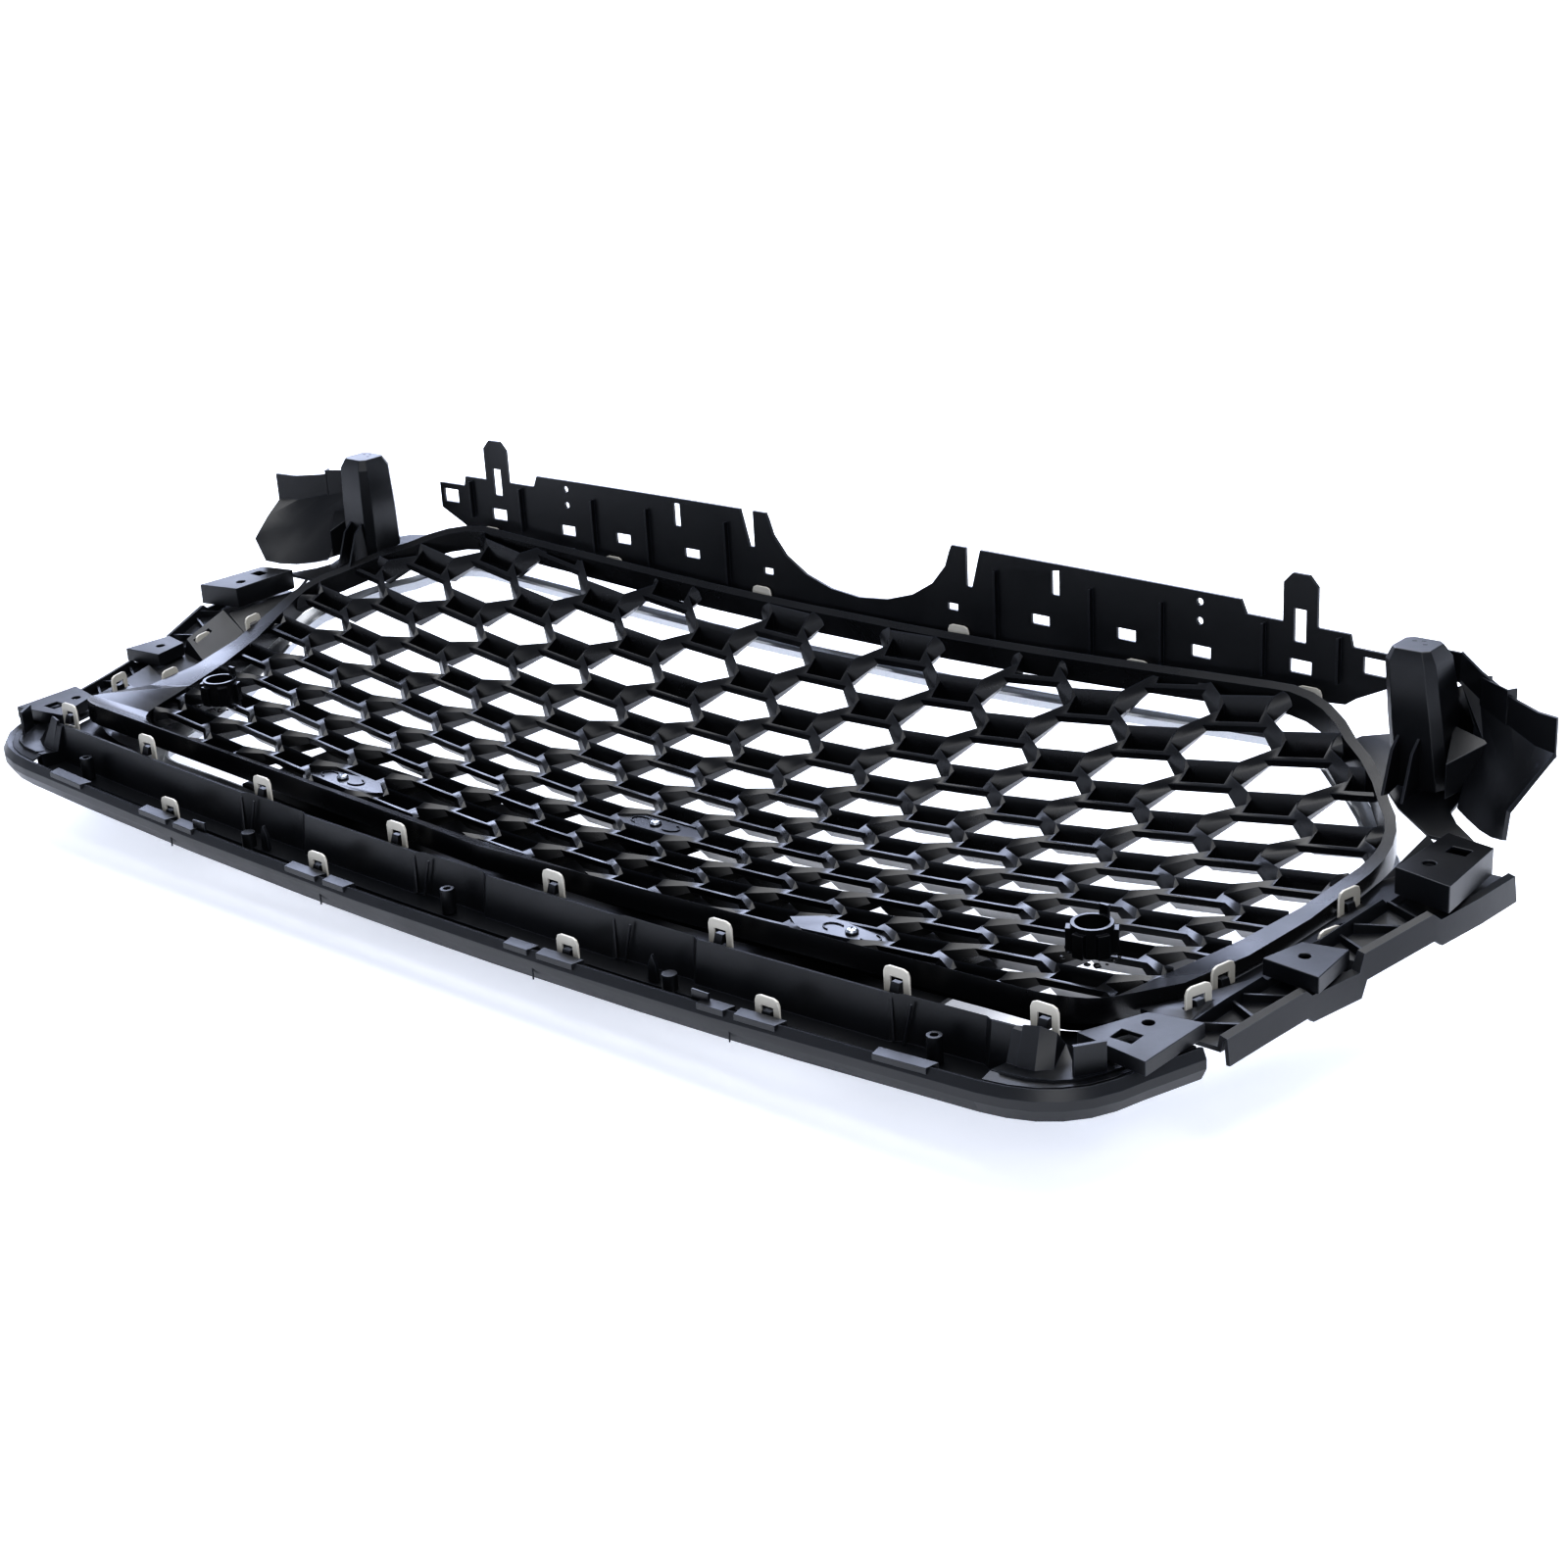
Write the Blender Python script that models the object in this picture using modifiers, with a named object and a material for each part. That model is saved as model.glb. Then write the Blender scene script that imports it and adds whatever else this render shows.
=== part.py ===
"""Front grille of a mid-size car: a honeycomb insert in a silver surround, held by a black carrier.

The grille lies face down. X runs across the car, Y from the bottom lip to the top panel and Z
from the face towards the engine. The origin is under the middle of the grille, at floor level.
Lengths are in millimetres until a mesh is made; heights count from the insert's rim at mid-width.
"""
import math

import bmesh
import bpy
from mathutils import Matrix, Vector

MM = 0.001
GAP = 0.3

# Honeycomb insert
PITCH = 57.0            # from one column of cells to the next
ROW = 20.65             # from one row of bars to the next, half a cell
CELL_REACH = 0.646      # half a cell, apex to apex, as a share of the pitch
BAR_HALF = 18.4         # half the length of a cell's level edge
BAR_WIDTH = 15.0        # across one hollow bar
RAIL = 2.6              # near wall of a bar
UPPER_DRAFT = 3.0       # how far a cell's slanted upper walls lean back towards the engine
LOWER_DRAFT = 0.6
COLLAR = 3.6            # how far a cell's lower edge stands above its upper edge
COLLAR_WALL = 1.5
LIP_DEPTH = 4.0         # depth of a cell's wall at its upper edge
APEX_DEPTH = 9.0
CELL_DEPTH = 17.0       # depth of a cell's wall at its lower edge
RECESS_FLOOR = 2.2      # skin left under the recess in a bar
COLUMNS = 10
TOP_ROW = 9             # rows are counted from the row at Y = 0
BOTTOM_ROW = -10

# Outline of the honeycomb, right half, from the bottom middle to the top middle
BOTTOM_EDGE = -155.0
BOTTOM_CORNER = (426.0, -175.0)
SHOULDER = (491.0, 47.0)
TOP_CORNER = (394.0, 134.0)
TOP_EDGE = 154.0
# Outer edge of the insert's frame, matched point by point
FRAME_BOTTOM = -221.0
FRAME_BOTTOM_CORNER = (446.0, -211.0)
FRAME_SIDE = 8.0       # width of the frame beside the cells
FRAME_TOP = 4.0         # width of the frame above the cells
FRAME_WALL = 14.0       # height of the frame's outer wall
FRAME_SKIN = 2.4
FRAME_RISE = 38.0       # height of the frame's bottom edge at mid-width

# Blanking plate in front of the lower cells and its screws
PLATE_HALF = 318.0
PLATE_TOP_ROW = -3.0
PLATE_SKIN = 2.4
SCREW_PLACES = ((-4, -7), (0, -3), (4, -7))
SCREW_OFFSETS = ((-6.0, 4.0), (-6.0, 4.0), (6.0, 4.0))   # from the middle of each screw's cell
SCREW_HEAD = 4.2
SCREW_SHANK = 1.9
SCREW_LENGTH = 19.0
TOWER_RADIUS = 5.0
CAP_SKIN = 4.0
CAP_RISE = -0.6         # top of a cap above the rim at the middle of its cell

# Parking-sensor holders
SENSOR_X = 393.0
SENSOR_Y = -121.0
SENSOR_BORE = 10.0
SENSOR_WALL = 2.4
SENSOR_HEIGHT = 18.0

# Carrier, bottom channel
BOW = 0.0036            # rise of the bottom channel towards its ends, per squared column
LIP_BOW = 0.0045
WALL_Y = -239.0
WALL_TOP = 30.5
FLOOR_Z = 3.5
SHELF = 15.8            # ledge between the wall and the insert's frame
LIP_Y = -270.0
LIP_TOP = 11.0
LIP_BOTTOM = -6.5
SKIN = 2.6
CHANNEL_HALF = 424.0
BOSS_X = 381.0
BOSS_Y = -257.0
BOSS_RADIUS = 4.6
BOSS_BORE = 2.2
BOSS_TOP = 21.5
PIN_X = 178.0

# Snap loops of the surround
LOOP_WIDTH = 18.0
LOOP_HEIGHT = 20.0
LOOP_THICK = 1.6
LOOP_WINDOW = 9.0
INNER_LOOP_Y = -228.0
INNER_LOOP_TOP = 41.5
OUTER_LOOP_Y = -261.0
OUTER_LOOP_TOP = 21.5
INNER_LOOPS = (72.0, 209.0, 338.0)
OUTER_LOOPS = (115.0, 272.0)

# Upright panel
PANEL_Y = 165.0
PANEL_SWEEP = 0.0042    # how far the panel runs forward towards its ends, per squared column
PANEL_SKIN = 2.4
TOP_SAG = 0.00012        # how far the insert's top edge falls back towards its ends
PANEL_TOP = 150.0
PANEL_STEP = 141.0
PANEL_END = 133.0
FINGER_X = 366.0
FINGER_TOP = 174.0
FINGER_HALF = 12.5
NOTCH_HALF = 84.0
NOTCH_FLOOR = 98.0

# Side rails, brackets, columns and wings
RAIL_SKIN = 2.6
FASCIA = 15.0           # how far the carrier's outer face hangs below its edge
SLIT = 1.0              # clearance around a loop
COLUMN_FOOT = (479.0, 112.0, 78.0)
COLUMN_LEAN = (-8.0, -7.0)
COLUMN_TOP = 159.0
COLUMN_HALF = 15.0
COLUMN_FLARE = 17.0
WING_SKIN = 2.6

PALETTE = {
    "gloss_black": ((0.012, 0.012, 0.014), 0.22, 0.0),
    "satin_black": ((0.020, 0.021, 0.024), 0.42, 0.0),
    "silver_paint": ((0.55, 0.56, 0.57), 0.30, 0.6),
    "nickel_grey": ((0.62, 0.62, 0.60), 0.40, 0.2),
    "zinc_steel": ((0.70, 0.70, 0.70), 0.25, 1.0),
}


# ---------------------------------------------------------------- scene and materials

def clear_scene():
    for old in list(bpy.data.objects):
        bpy.data.objects.remove(old, do_unlink=True)


def collection(name):
    made = bpy.data.collections.new(name)
    bpy.context.scene.collection.children.link(made)
    return made


clear_scene()
GRILLE = collection("front_grille")
CUTTERS = collection("front_grille_cutters")


def material(name, finish):
    colour, roughness, metallic = PALETTE[finish]
    made = bpy.data.materials.new(name)
    made.use_nodes = True
    shader = made.node_tree.nodes["Principled BSDF"]
    shader.inputs["Base Color"].default_value = (*colour, 1.0)
    shader.inputs["Roughness"].default_value = roughness
    shader.inputs["Metallic"].default_value = metallic
    return made


def place(name, bm, finish, smooth=True):
    """Turn a bmesh in millimetres into a named part."""
    bmesh.ops.scale(bm, vec=(MM, MM, MM), verts=bm.verts)
    mesh = bpy.data.meshes.new(name)
    bm.to_mesh(mesh)
    bm.free()
    part = bpy.data.objects.new(name, mesh)
    GRILLE.objects.link(part)
    part.data.materials.append(material(name, finish))
    if smooth:
        mesh.shade_smooth()
        mesh.set_sharp_from_angle(angle=math.radians(35))
    return part


def thicken(part, skin, even=False):
    shell = part.modifiers.new("skin", "SOLIDIFY")
    shell.thickness = skin * MM
    shell.offset = 0.0
    shell.use_even_offset = even
    return part


def combine(part, cutter, operation="DIFFERENCE"):
    """Cut a part with a solid, given as a bmesh in millimetres, or join the two."""
    bmesh.ops.scale(cutter, vec=(MM, MM, MM), verts=cutter.verts)
    mesh = bpy.data.meshes.new(part.name + "_cutter")
    cutter.to_mesh(mesh)
    cutter.free()
    tool = bpy.data.objects.new(mesh.name, mesh)
    CUTTERS.objects.link(tool)
    tool.hide_render = True
    tool.display_type = "WIRE"
    boolean = part.modifiers.new(operation.lower(), "BOOLEAN")
    boolean.operation = operation
    boolean.solver = "EXACT"
    boolean.object = tool
    return part


# ---------------------------------------------------------------- surfaces and outlines

def rim(x, y):
    """Height of the insert's back rim: bowed across the car and swept up towards the top."""
    u = x / PITCH
    v = y / PITCH
    across = 0.0147 * u ** 2 - 0.00005 * u ** 4
    along = 0.1537 * v + 0.0966 * v ** 2 + 0.0150 * v ** 3
    return PITCH * (across + along + 0.00132 * u ** 2 * v)


def bow(x):
    return PITCH * BOW * (x / PITCH) ** 2


def panel_y(x):
    return PANEL_Y - PITCH * PANEL_SWEEP * (x / PITCH) ** 2


def run(start, end, bulge, steps):
    """Points from start towards end, bulged to the right-hand side of the run."""
    a = Vector(start)
    b = Vector(end)
    side = Vector((b.y - a.y, a.x - b.x)).normalized()
    points = []
    for k in range(steps):
        t = k / steps
        points.append(a.lerp(b, t) + side * bulge * 4 * t * (1 - t))
    return points


def rounded(corner, before, after, radius, steps=5):
    """Points of the round that replaces a corner between two neighbours."""
    c = Vector(corner)
    toward = (Vector(before) - c).normalized()
    away = (Vector(after) - c).normalized()
    start = c + toward * radius
    end = c + away * radius
    points = []
    for k in range(steps + 1):
        t = k / steps
        points.append(start.lerp(c, t).lerp(c.lerp(end, t), t))
    return points


def half_outline(bottom, corner, shoulder, top_corner, top, radii):
    """Right half of a hexagonal outline, from the bottom middle to the top middle."""
    low = (0.0, bottom)
    high = (0.0, top)
    turns = (rounded(corner, low, shoulder, radii[0]),
             rounded(shoulder, corner, top_corner, radii[1]),
             rounded(top_corner, shoulder, high, radii[2]))
    points = run(low, turns[0][0], -4.5, 8) + turns[0][:-1]
    points += run(turns[0][-1], turns[1][0], 0.0, 4) + turns[1][:-1]
    points += run(turns[1][-1], turns[2][0], 3.0, 3) + turns[2][:-1]
    return points + run(turns[2][-1], high, 4.0, 8) + [Vector(high)]


def whole(half):
    """Mirror a half outline into a closed loop."""
    return half + [Vector((-p.x, p.y)) for p in reversed(half[1:-1])]


def honeycomb_edge(grow=0.0):
    corner = Vector(BOTTOM_CORNER) + Vector((grow, -grow))
    shoulder = Vector(SHOULDER) + Vector((grow, 0))
    top = Vector(TOP_CORNER) + Vector((grow * 0.6, grow))
    return half_outline(BOTTOM_EDGE - grow, corner, shoulder, top, TOP_EDGE + grow, (22, 30, 40))


def frame_edge(grow=0.0):
    corner = Vector(FRAME_BOTTOM_CORNER) + Vector((grow, -grow))
    shoulder = Vector(SHOULDER) + Vector((FRAME_SIDE + grow, 0))
    top = Vector(TOP_CORNER) + Vector((FRAME_TOP + grow * 0.6, FRAME_TOP + grow))
    return half_outline(FRAME_BOTTOM - grow, corner, shoulder, top, TOP_EDGE + FRAME_TOP + grow,
                        (26, 34, 44))


def frame_height(x, y):
    """Height of the frame's outer edge: the rim's at the sides, raised along the bottom."""
    raised = min(max((-y - 120.0) / 90.0, 0.0), 1.0)
    return (1 - raised) * (rim(x, y) + 1.5) + raised * (FRAME_RISE + bow(x))


# ---------------------------------------------------------------- solids

def grid(rows, closed=False):
    """Open surface through rows of points, each row as long as the next."""
    bm = bmesh.new()
    lines = [[bm.verts.new(p) for p in row] for row in rows]
    count = len(rows[0])
    last = count if closed else count - 1
    for low, high in zip(lines, lines[1:]):
        for k in range(last):
            n = (k + 1) % count
            bm.faces.new((low[k], low[n], high[n], high[k]))
    bmesh.ops.recalc_face_normals(bm, faces=bm.faces)
    return bm


def loft(sections, closed=False):
    """Closed solid through matching loops of points, capped at both ends unless it is closed."""
    bm = bmesh.new()
    loops = [[bm.verts.new(p) for p in section] for section in sections]
    count = len(sections[0])
    pairs = list(zip(loops, loops[1:]))
    if closed:
        pairs.append((loops[-1], loops[0]))
    for a, b in pairs:
        for k in range(count):
            n = (k + 1) % count
            bm.faces.new((a[k], a[n], b[n], b[k]))
    if not closed:
        bm.faces.new(loops[0])
        bm.faces.new(loops[-1])
    bmesh.ops.recalc_face_normals(bm, faces=bm.faces)
    return bm


def filled(outline, holes=(), slices=()):
    """Flat sheet with holes in the plane of its first two coordinates, cut at some X values."""
    bm = bmesh.new()
    for loop in (outline, *holes):
        verts = [bm.verts.new((p[0], p[1], 0.0)) for p in loop]
        for a, b in zip(verts, verts[1:] + verts[:1]):
            bm.edges.new((a, b))
    bmesh.ops.triangle_fill(bm, use_beauty=True, edges=bm.edges[:], normal=(0, 0, 1))
    for x in slices:
        everything = bm.verts[:] + bm.edges[:] + bm.faces[:]
        bmesh.ops.bisect_plane(bm, geom=everything, plane_co=(x, 0, 0), plane_no=(1, 0, 0),
                               dist=0.001)
    down = [f for f in bm.faces if f.normal.z < 0]
    bmesh.ops.reverse_faces(bm, faces=down)
    return bm


def box(low, high):
    bm = bmesh.new()
    bmesh.ops.create_cube(bm, size=1.0)
    size = [b - a for a, b in zip(low, high)]
    middle = [(a + b) / 2 for a, b in zip(low, high)]
    bmesh.ops.transform(bm, matrix=Matrix.Diagonal((*size, 1.0)), verts=bm.verts)
    bmesh.ops.translate(bm, vec=middle, verts=bm.verts)
    return bm


def cylinder(centre, radius, low, high, sides=20, top_radius=None):
    bm = bmesh.new()
    narrow = radius if top_radius is None else top_radius
    bmesh.ops.create_cone(bm, cap_ends=True, segments=sides, radius1=radius, radius2=narrow,
                          depth=high - low)
    bmesh.ops.translate(bm, vec=(centre[0], centre[1], (low + high) / 2), verts=bm.verts)
    return bm


def tube(centre, outer, inner, low, high, sides=20):
    """Ring with a through bore."""
    turn = [math.tau * k / sides for k in range(sides)]

    def corner(angle, radius, z):
        return (centre[0] + radius * math.cos(angle), centre[1] + radius * math.sin(angle), z)

    profile = ((outer, low), (outer, high), (inner, high), (inner, low))
    return loft([[corner(a, r, z) for r, z in profile] for a in turn], closed=True)


def prism(points, low, high):
    """Upright solid over a plan outline; low and high are heights or functions of the place."""
    def level(value, p):
        return value(p[0], p[1]) if callable(value) else value
    return loft([[(p[0], p[1], level(z, p)) for p in points] for z in (low, high)])


def gather(bms):
    """Put several separate solids into one bmesh."""
    total = bmesh.new()
    for bm in bms:
        mesh = bpy.data.meshes.new("piece")
        bm.to_mesh(mesh)
        bm.free()
        total.from_mesh(mesh)
        bpy.data.meshes.remove(mesh)
    return total


def mirrored(bm):
    """Copy of a bmesh on the other side of the car."""
    twin = bm.copy()
    bmesh.ops.scale(twin, vec=(-1, 1, 1), verts=twin.verts)
    bmesh.ops.reverse_faces(twin, faces=twin.faces)
    return twin


def pair(name, bm, finish, skin=None, added=None, removed=None):
    """One part on the right of the car and its mirror image on the left."""
    for side, turn in (("right", bmesh.types.BMesh.copy), ("left", mirrored)):
        part = place(f"{name}_{side}", turn(bm), finish)
        if skin:
            thicken(part, skin, even=True)
        if added:
            combine(part, turn(added), "UNION")
        if removed:
            combine(part, turn(removed))


# ---------------------------------------------------------------- honeycomb insert

def is_cell(i, j):
    return (i + j) % 2 == 1


def cell_corners(i, j, opened=0.0):
    """Six plan corners of a cell: right apex, then round by the top edge to the bottom right.

    Its slanted walls thin towards the back: opened is the share of that draft at this depth."""
    x = i * PITCH
    y = j * ROW
    reach = CELL_REACH * PITCH
    top = ROW - BAR_WIDTH / 2
    slope = Vector((top, reach - BAR_HALF)).normalized()
    upper = UPPER_DRAFT * opened
    lower = LOWER_DRAFT * opened
    tip = reach + (upper + lower) / 2 / slope.x
    lift = (upper - lower) / 2 / slope.y
    high = BAR_HALF + upper / slope.x
    low = BAR_HALF + lower / slope.x
    return [(x + tip, y + lift), (x + high, y + top), (x - high, y + top),
            (x - tip, y + lift), (x - low, y - top), (x + low, y - top)]


CORNER_RISE = (0.0, 0.0, 0.0, 0.0, COLLAR, COLLAR)
CORNER_DROP = (APEX_DEPTH, LIP_DEPTH, LIP_DEPTH, APEX_DEPTH, CELL_DEPTH, CELL_DEPTH)


class Lattice:
    """Builds the honeycomb cell by cell; neighbours share the corners between them."""

    def __init__(self):
        self.bm = bmesh.new()
        self.top = {}
        self.low = {}
        rows = range(BOTTOM_ROW, TOP_ROW + 1)
        places = [(i, j) for i in range(-COLUMNS, COLUMNS + 1) for j in rows]
        self.cells = {p for p in places if is_cell(*p)}
        self.bars = {(i, j) for i, j in places if not is_cell(i, j)
                     and {(i - 1, j), (i + 1, j), (i, j - 1), (i, j + 1)} <= self.cells}
        for place_ in sorted(self.cells):
            self.add_corners(*place_)

    def add_corners(self, i, j):
        for k, (x, y) in enumerate(cell_corners(i, j, 1.0)):
            self.top[i, j, k] = self.bm.verts.new((x, y, rim(x, y) + CORNER_RISE[k]))
        for k, (x, y) in enumerate(cell_corners(i, j, 0.35)):
            self.low[i, j, k] = self.bm.verts.new((x, y, rim(x, y) - CORNER_DROP[k]))

    def upright(self, a, b):
        """Upright face below the edge between two corners."""
        self.bm.faces.new((self.top[a], self.top[b], self.low[b], self.low[a]))

    def add_cell(self, i, j):
        slanted = ((0, 1, 1, 1), (2, 3, -1, 1), (3, 4, -1, -1), (5, 0, 1, -1))
        for a, b, across, along in slanted:
            if (i + across, j + along) in self.cells:
                self.upright((i, j, a), (i, j, b))
        for a, b, along in ((1, 2, 1), (4, 5, -1)):
            if (i, j + along) in self.bars:
                self.upright((i, j, a), (i, j, b))

    def add_wall(self, keys, bars):
        """Top and bottom of a slanted wall between two cells, with its ends where no bar is."""
        self.bm.faces.new([self.top[k] for k in keys])
        self.bm.faces.new([self.low[k] for k in keys])
        for bar, a, b in zip(bars, (keys[1], keys[3]), (keys[2], keys[0])):
            if bar not in self.bars:
                self.upright(a, b)

    def add_walls(self, i, j):
        if (i + 1, j - 1) in self.cells:
            keys = ((i, j, 0), (i, j, 5), (i + 1, j - 1, 3), (i + 1, j - 1, 2))
            self.add_wall(keys, ((i, j - 1), (i + 1, j)))
        if (i - 1, j - 1) in self.cells:
            keys = ((i, j, 3), (i, j, 4), (i - 1, j - 1, 0), (i - 1, j - 1, 1))
            self.add_wall(keys, ((i, j - 1), (i - 1, j)))

    def add_bar(self, i, j):
        keys = ((i - 1, j, 0), (i, j + 1, 4), (i, j + 1, 5),
                (i + 1, j, 3), (i, j - 1, 1), (i, j - 1, 2))
        low = [self.low[k] for k in keys]
        self.bm.faces.new(low[:4])
        self.bm.faces.new((low[0], low[3], low[4], low[5]))
        self.add_recess(i, j, [self.top[k] for k in keys])

    def add_recess(self, i, j, top):
        """Box-shaped recess in the back of a bar, with its floor sloping like the face."""
        x = i * PITCH
        y = j * ROW
        near = y - BAR_WIDTH / 2 + RAIL
        far = y + BAR_WIDTH / 2 - COLLAR_WALL
        half = BAR_HALF - RAIL
        plan = [(x - half, far), (x + half, far), (x + half, near), (x - half, near)]
        deep = (CELL_DEPTH - LIP_DEPTH) * (1 - COLLAR_WALL / BAR_WIDTH) + LIP_DEPTH - RECESS_FLOOR
        drop = (deep, deep, LIP_DEPTH - RECESS_FLOOR, LIP_DEPTH - RECESS_FLOOR)
        edge = [self.bm.verts.new((*p, rim(*p))) for p in plan]
        floor = [self.bm.verts.new((*p, rim(*p) - d)) for p, d in zip(plan, drop)]
        new = self.bm.faces.new
        new((top[1], top[2], edge[1], edge[0]))
        new((top[2], top[3], edge[1]))
        new((top[3], top[4], edge[2], edge[1]))
        new((top[4], top[5], edge[3], edge[2]))
        new((top[5], top[0], edge[0], edge[3]))
        new((top[0], top[1], edge[0]))
        for k in range(4):
            n = (k + 1) % 4
            new((edge[k], edge[n], floor[n], floor[k]))
        new(floor)

    def build(self):
        for cell in sorted(self.cells):
            self.add_cell(*cell)
            self.add_walls(*cell)
        for bar in sorted(self.bars):
            self.add_bar(*bar)
        lone = [v for v in self.bm.verts if not v.link_faces]
        bmesh.ops.delete(self.bm, geom=lone, context="VERTS")
        bmesh.ops.triangulate(self.bm, faces=self.bm.faces[:])
        bmesh.ops.recalc_face_normals(self.bm, faces=self.bm.faces[:])
        return self.bm


def screw_caps():
    """Hexagonal caps, moulded into the insert, that take the screws of the blanking plate."""
    caps = []
    for i, j in SCREW_PLACES:
        middle = Vector((i * PITCH, j * ROW))
        plan = [middle + (Vector(p) - middle) * 1.03 for p in cell_corners(i, j, 0.8)]
        top = cap_top(i, j)
        caps.append(prism(plan, top - CAP_SKIN, top))
    return gather(caps)


def cap_top(i, j):
    return rim(i * PITCH, j * ROW) + CAP_RISE


def screws():
    """Plan centre of each screw and the height of the cap that it sits on."""
    return [((i * PITCH + dx, j * ROW + dy), cap_top(i, j))
            for (i, j), (dx, dy) in zip(SCREW_PLACES, SCREW_OFFSETS)]


def screw_bores():
    return gather([cylinder(centre, SCREW_SHANK + GAP, top - 60, top + 20, 12)
                   for centre, top in screws()])


def add_honeycomb():
    part = place("honeycomb_insert", Lattice().build(), "gloss_black", smooth=False)
    combine(part, prism(whole(honeycomb_edge()), -80.0, 160.0), "INTERSECT")
    combine(part, screw_caps(), "UNION")
    combine(part, screw_bores())


def ring(rows):
    """Closed band through loops of plan points with their heights."""
    return grid([[(p.x, p.y, z(p.x, p.y)) for p in whole(half)] for half, z in rows], closed=True)


def add_insert_frame():
    inner = honeycomb_edge(GAP + FRAME_SKIN / 2)
    outer = frame_edge()
    bm = ring([(inner, lambda x, y: rim(x, y) - CELL_DEPTH + 3),
               (inner, lambda x, y: rim(x, y) + 1.0),
               (outer, frame_height),
               (outer, lambda x, y: frame_height(x, y) - FRAME_WALL)])
    thicken(place("insert_frame", bm, "gloss_black"), FRAME_SKIN)


def add_screws():
    names = ("screw_left", "screw_middle", "screw_right")
    for name, (centre, top) in zip(names, screws()):
        seat = top + GAP
        profile = [(SCREW_SHANK, -SCREW_LENGTH), (SCREW_SHANK, 0.0), (SCREW_HEAD, 0.0),
                   (SCREW_HEAD, 0.9), (SCREW_HEAD * 0.8, 2.2), (SCREW_HEAD * 0.4, 2.9)]
        turn = [math.tau * k / 16 for k in range(16)]
        bm = loft([[(centre[0] + r * math.cos(a), centre[1] + r * math.sin(a), seat + z)
                    for a in turn] for r, z in profile])
        place(name, bm, "zinc_steel")


def plate_height(x, y):
    return rim(x, y) - CELL_DEPTH - COLLAR - 2.0


def add_blanking_plate():
    """Closed plate in front of the lower cells, pulled back against them by the screws."""
    top = PLATE_TOP_ROW * ROW + 4.0
    side = PLATE_HALF
    low = BOTTOM_EDGE - 12.0
    step = 2 * side / 14
    across = [-side + step * k for k in range(15)]
    rows = []
    for t in (0.0, 0.2, 0.4, 0.6, 0.8, 1.0):
        rows.append([(x, low + (top - 26.0 * (x / side) ** 2 - low) * t,
                      plate_height(x, low + (top - 26.0 * (x / side) ** 2 - low) * t))
                     for x in across])
    plate = thicken(place("blanking_plate", grid(rows), "satin_black"), PLATE_SKIN)
    towers = []
    for centre, top in screws():
        seat = top - CAP_SKIN - GAP
        towers.append(cylinder(centre, TOWER_RADIUS, plate_height(*centre), seat, 16))
    combine(plate, gather(towers), "UNION")
    combine(plate, screw_bores())


def add_sensor_holders():
    """Sleeve with spring fingers that holds a parking sensor, and its upright key."""
    foot = rim(SENSOR_X, SENSOR_Y) + COLLAR + GAP + 3.0
    centre = (SENSOR_X, SENSOR_Y)
    outer = SENSOR_BORE + SENSOR_WALL
    fingers = []
    for degrees in (30, 150, 210, 270, 330):
        finger = box((outer - 1.0, -3.6, foot + 0.5), (outer + 2.6, 3.6, foot + SENSOR_HEIGHT - 3.0))
        turn = Matrix.Rotation(math.radians(degrees), 3, "Z")
        bmesh.ops.rotate(finger, matrix=turn, verts=finger.verts)
        bmesh.ops.translate(finger, vec=(*centre, 0), verts=finger.verts)
        fingers.append(finger)
    key = box((-3.0, outer - 1.0, foot + 0.8), (3.0, outer + 1.2, foot + SENSOR_HEIGHT + 6.0))
    bmesh.ops.translate(key, vec=(*centre, 0), verts=key.verts)
    pair("sensor_holder", tube(centre, outer, SENSOR_BORE, foot, foot + SENSOR_HEIGHT, 24),
         "gloss_black", added=gather(fingers + [key]))


# ---------------------------------------------------------------- surround and its loops

def surround_depth(x, y):
    """Back of the surround's inner edge: close under the cells, but below the blanking plate."""
    lowered = min(max((-y - 10.0) / 50.0, 0.0), 1.0)
    return rim(x, y) - CELL_DEPTH - 3.0 - 8.0 * lowered


def surround_edge():
    corner = Vector(FRAME_BOTTOM_CORNER) + Vector((8.0, -8.0))
    shoulder = Vector(SHOULDER) + Vector((FRAME_SIDE + 6.0, 0))
    return half_outline(FRAME_BOTTOM - 8.0, corner, shoulder, TOP_CORNER, TOP_EDGE + 1.0,
                        (26, 34, 44))


def add_surround():
    """Silver ring on the face, seen from behind through the corner cells."""
    def crest(x, y):
        return surround_depth(x, y) - 9.0

    def outer(x, y):
        return frame_height(x, y) - FRAME_WALL - 12.0

    bm = ring([(honeycomb_edge(-7.0), surround_depth),
               (honeycomb_edge(-4.0), crest),
               (honeycomb_edge(0.0), crest),
               (surround_edge(), outer)])
    thicken(place("trim_surround", bm, "silver_paint"), 2.4)


def slab(outline, holes, thickness):
    """Flat plate of even thickness, centred on its own plane."""
    bm = filled(outline, holes)
    made = bmesh.ops.extrude_face_region(bm, geom=bm.faces[:])
    moved = [v for v in made["geom"] if isinstance(v, bmesh.types.BMVert)]
    bmesh.ops.translate(bm, vec=(0, 0, thickness), verts=moved)
    bmesh.ops.translate(bm, vec=(0, 0, -thickness / 2), verts=bm.verts)
    bmesh.ops.recalc_face_normals(bm, faces=bm.faces)
    return bm


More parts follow.
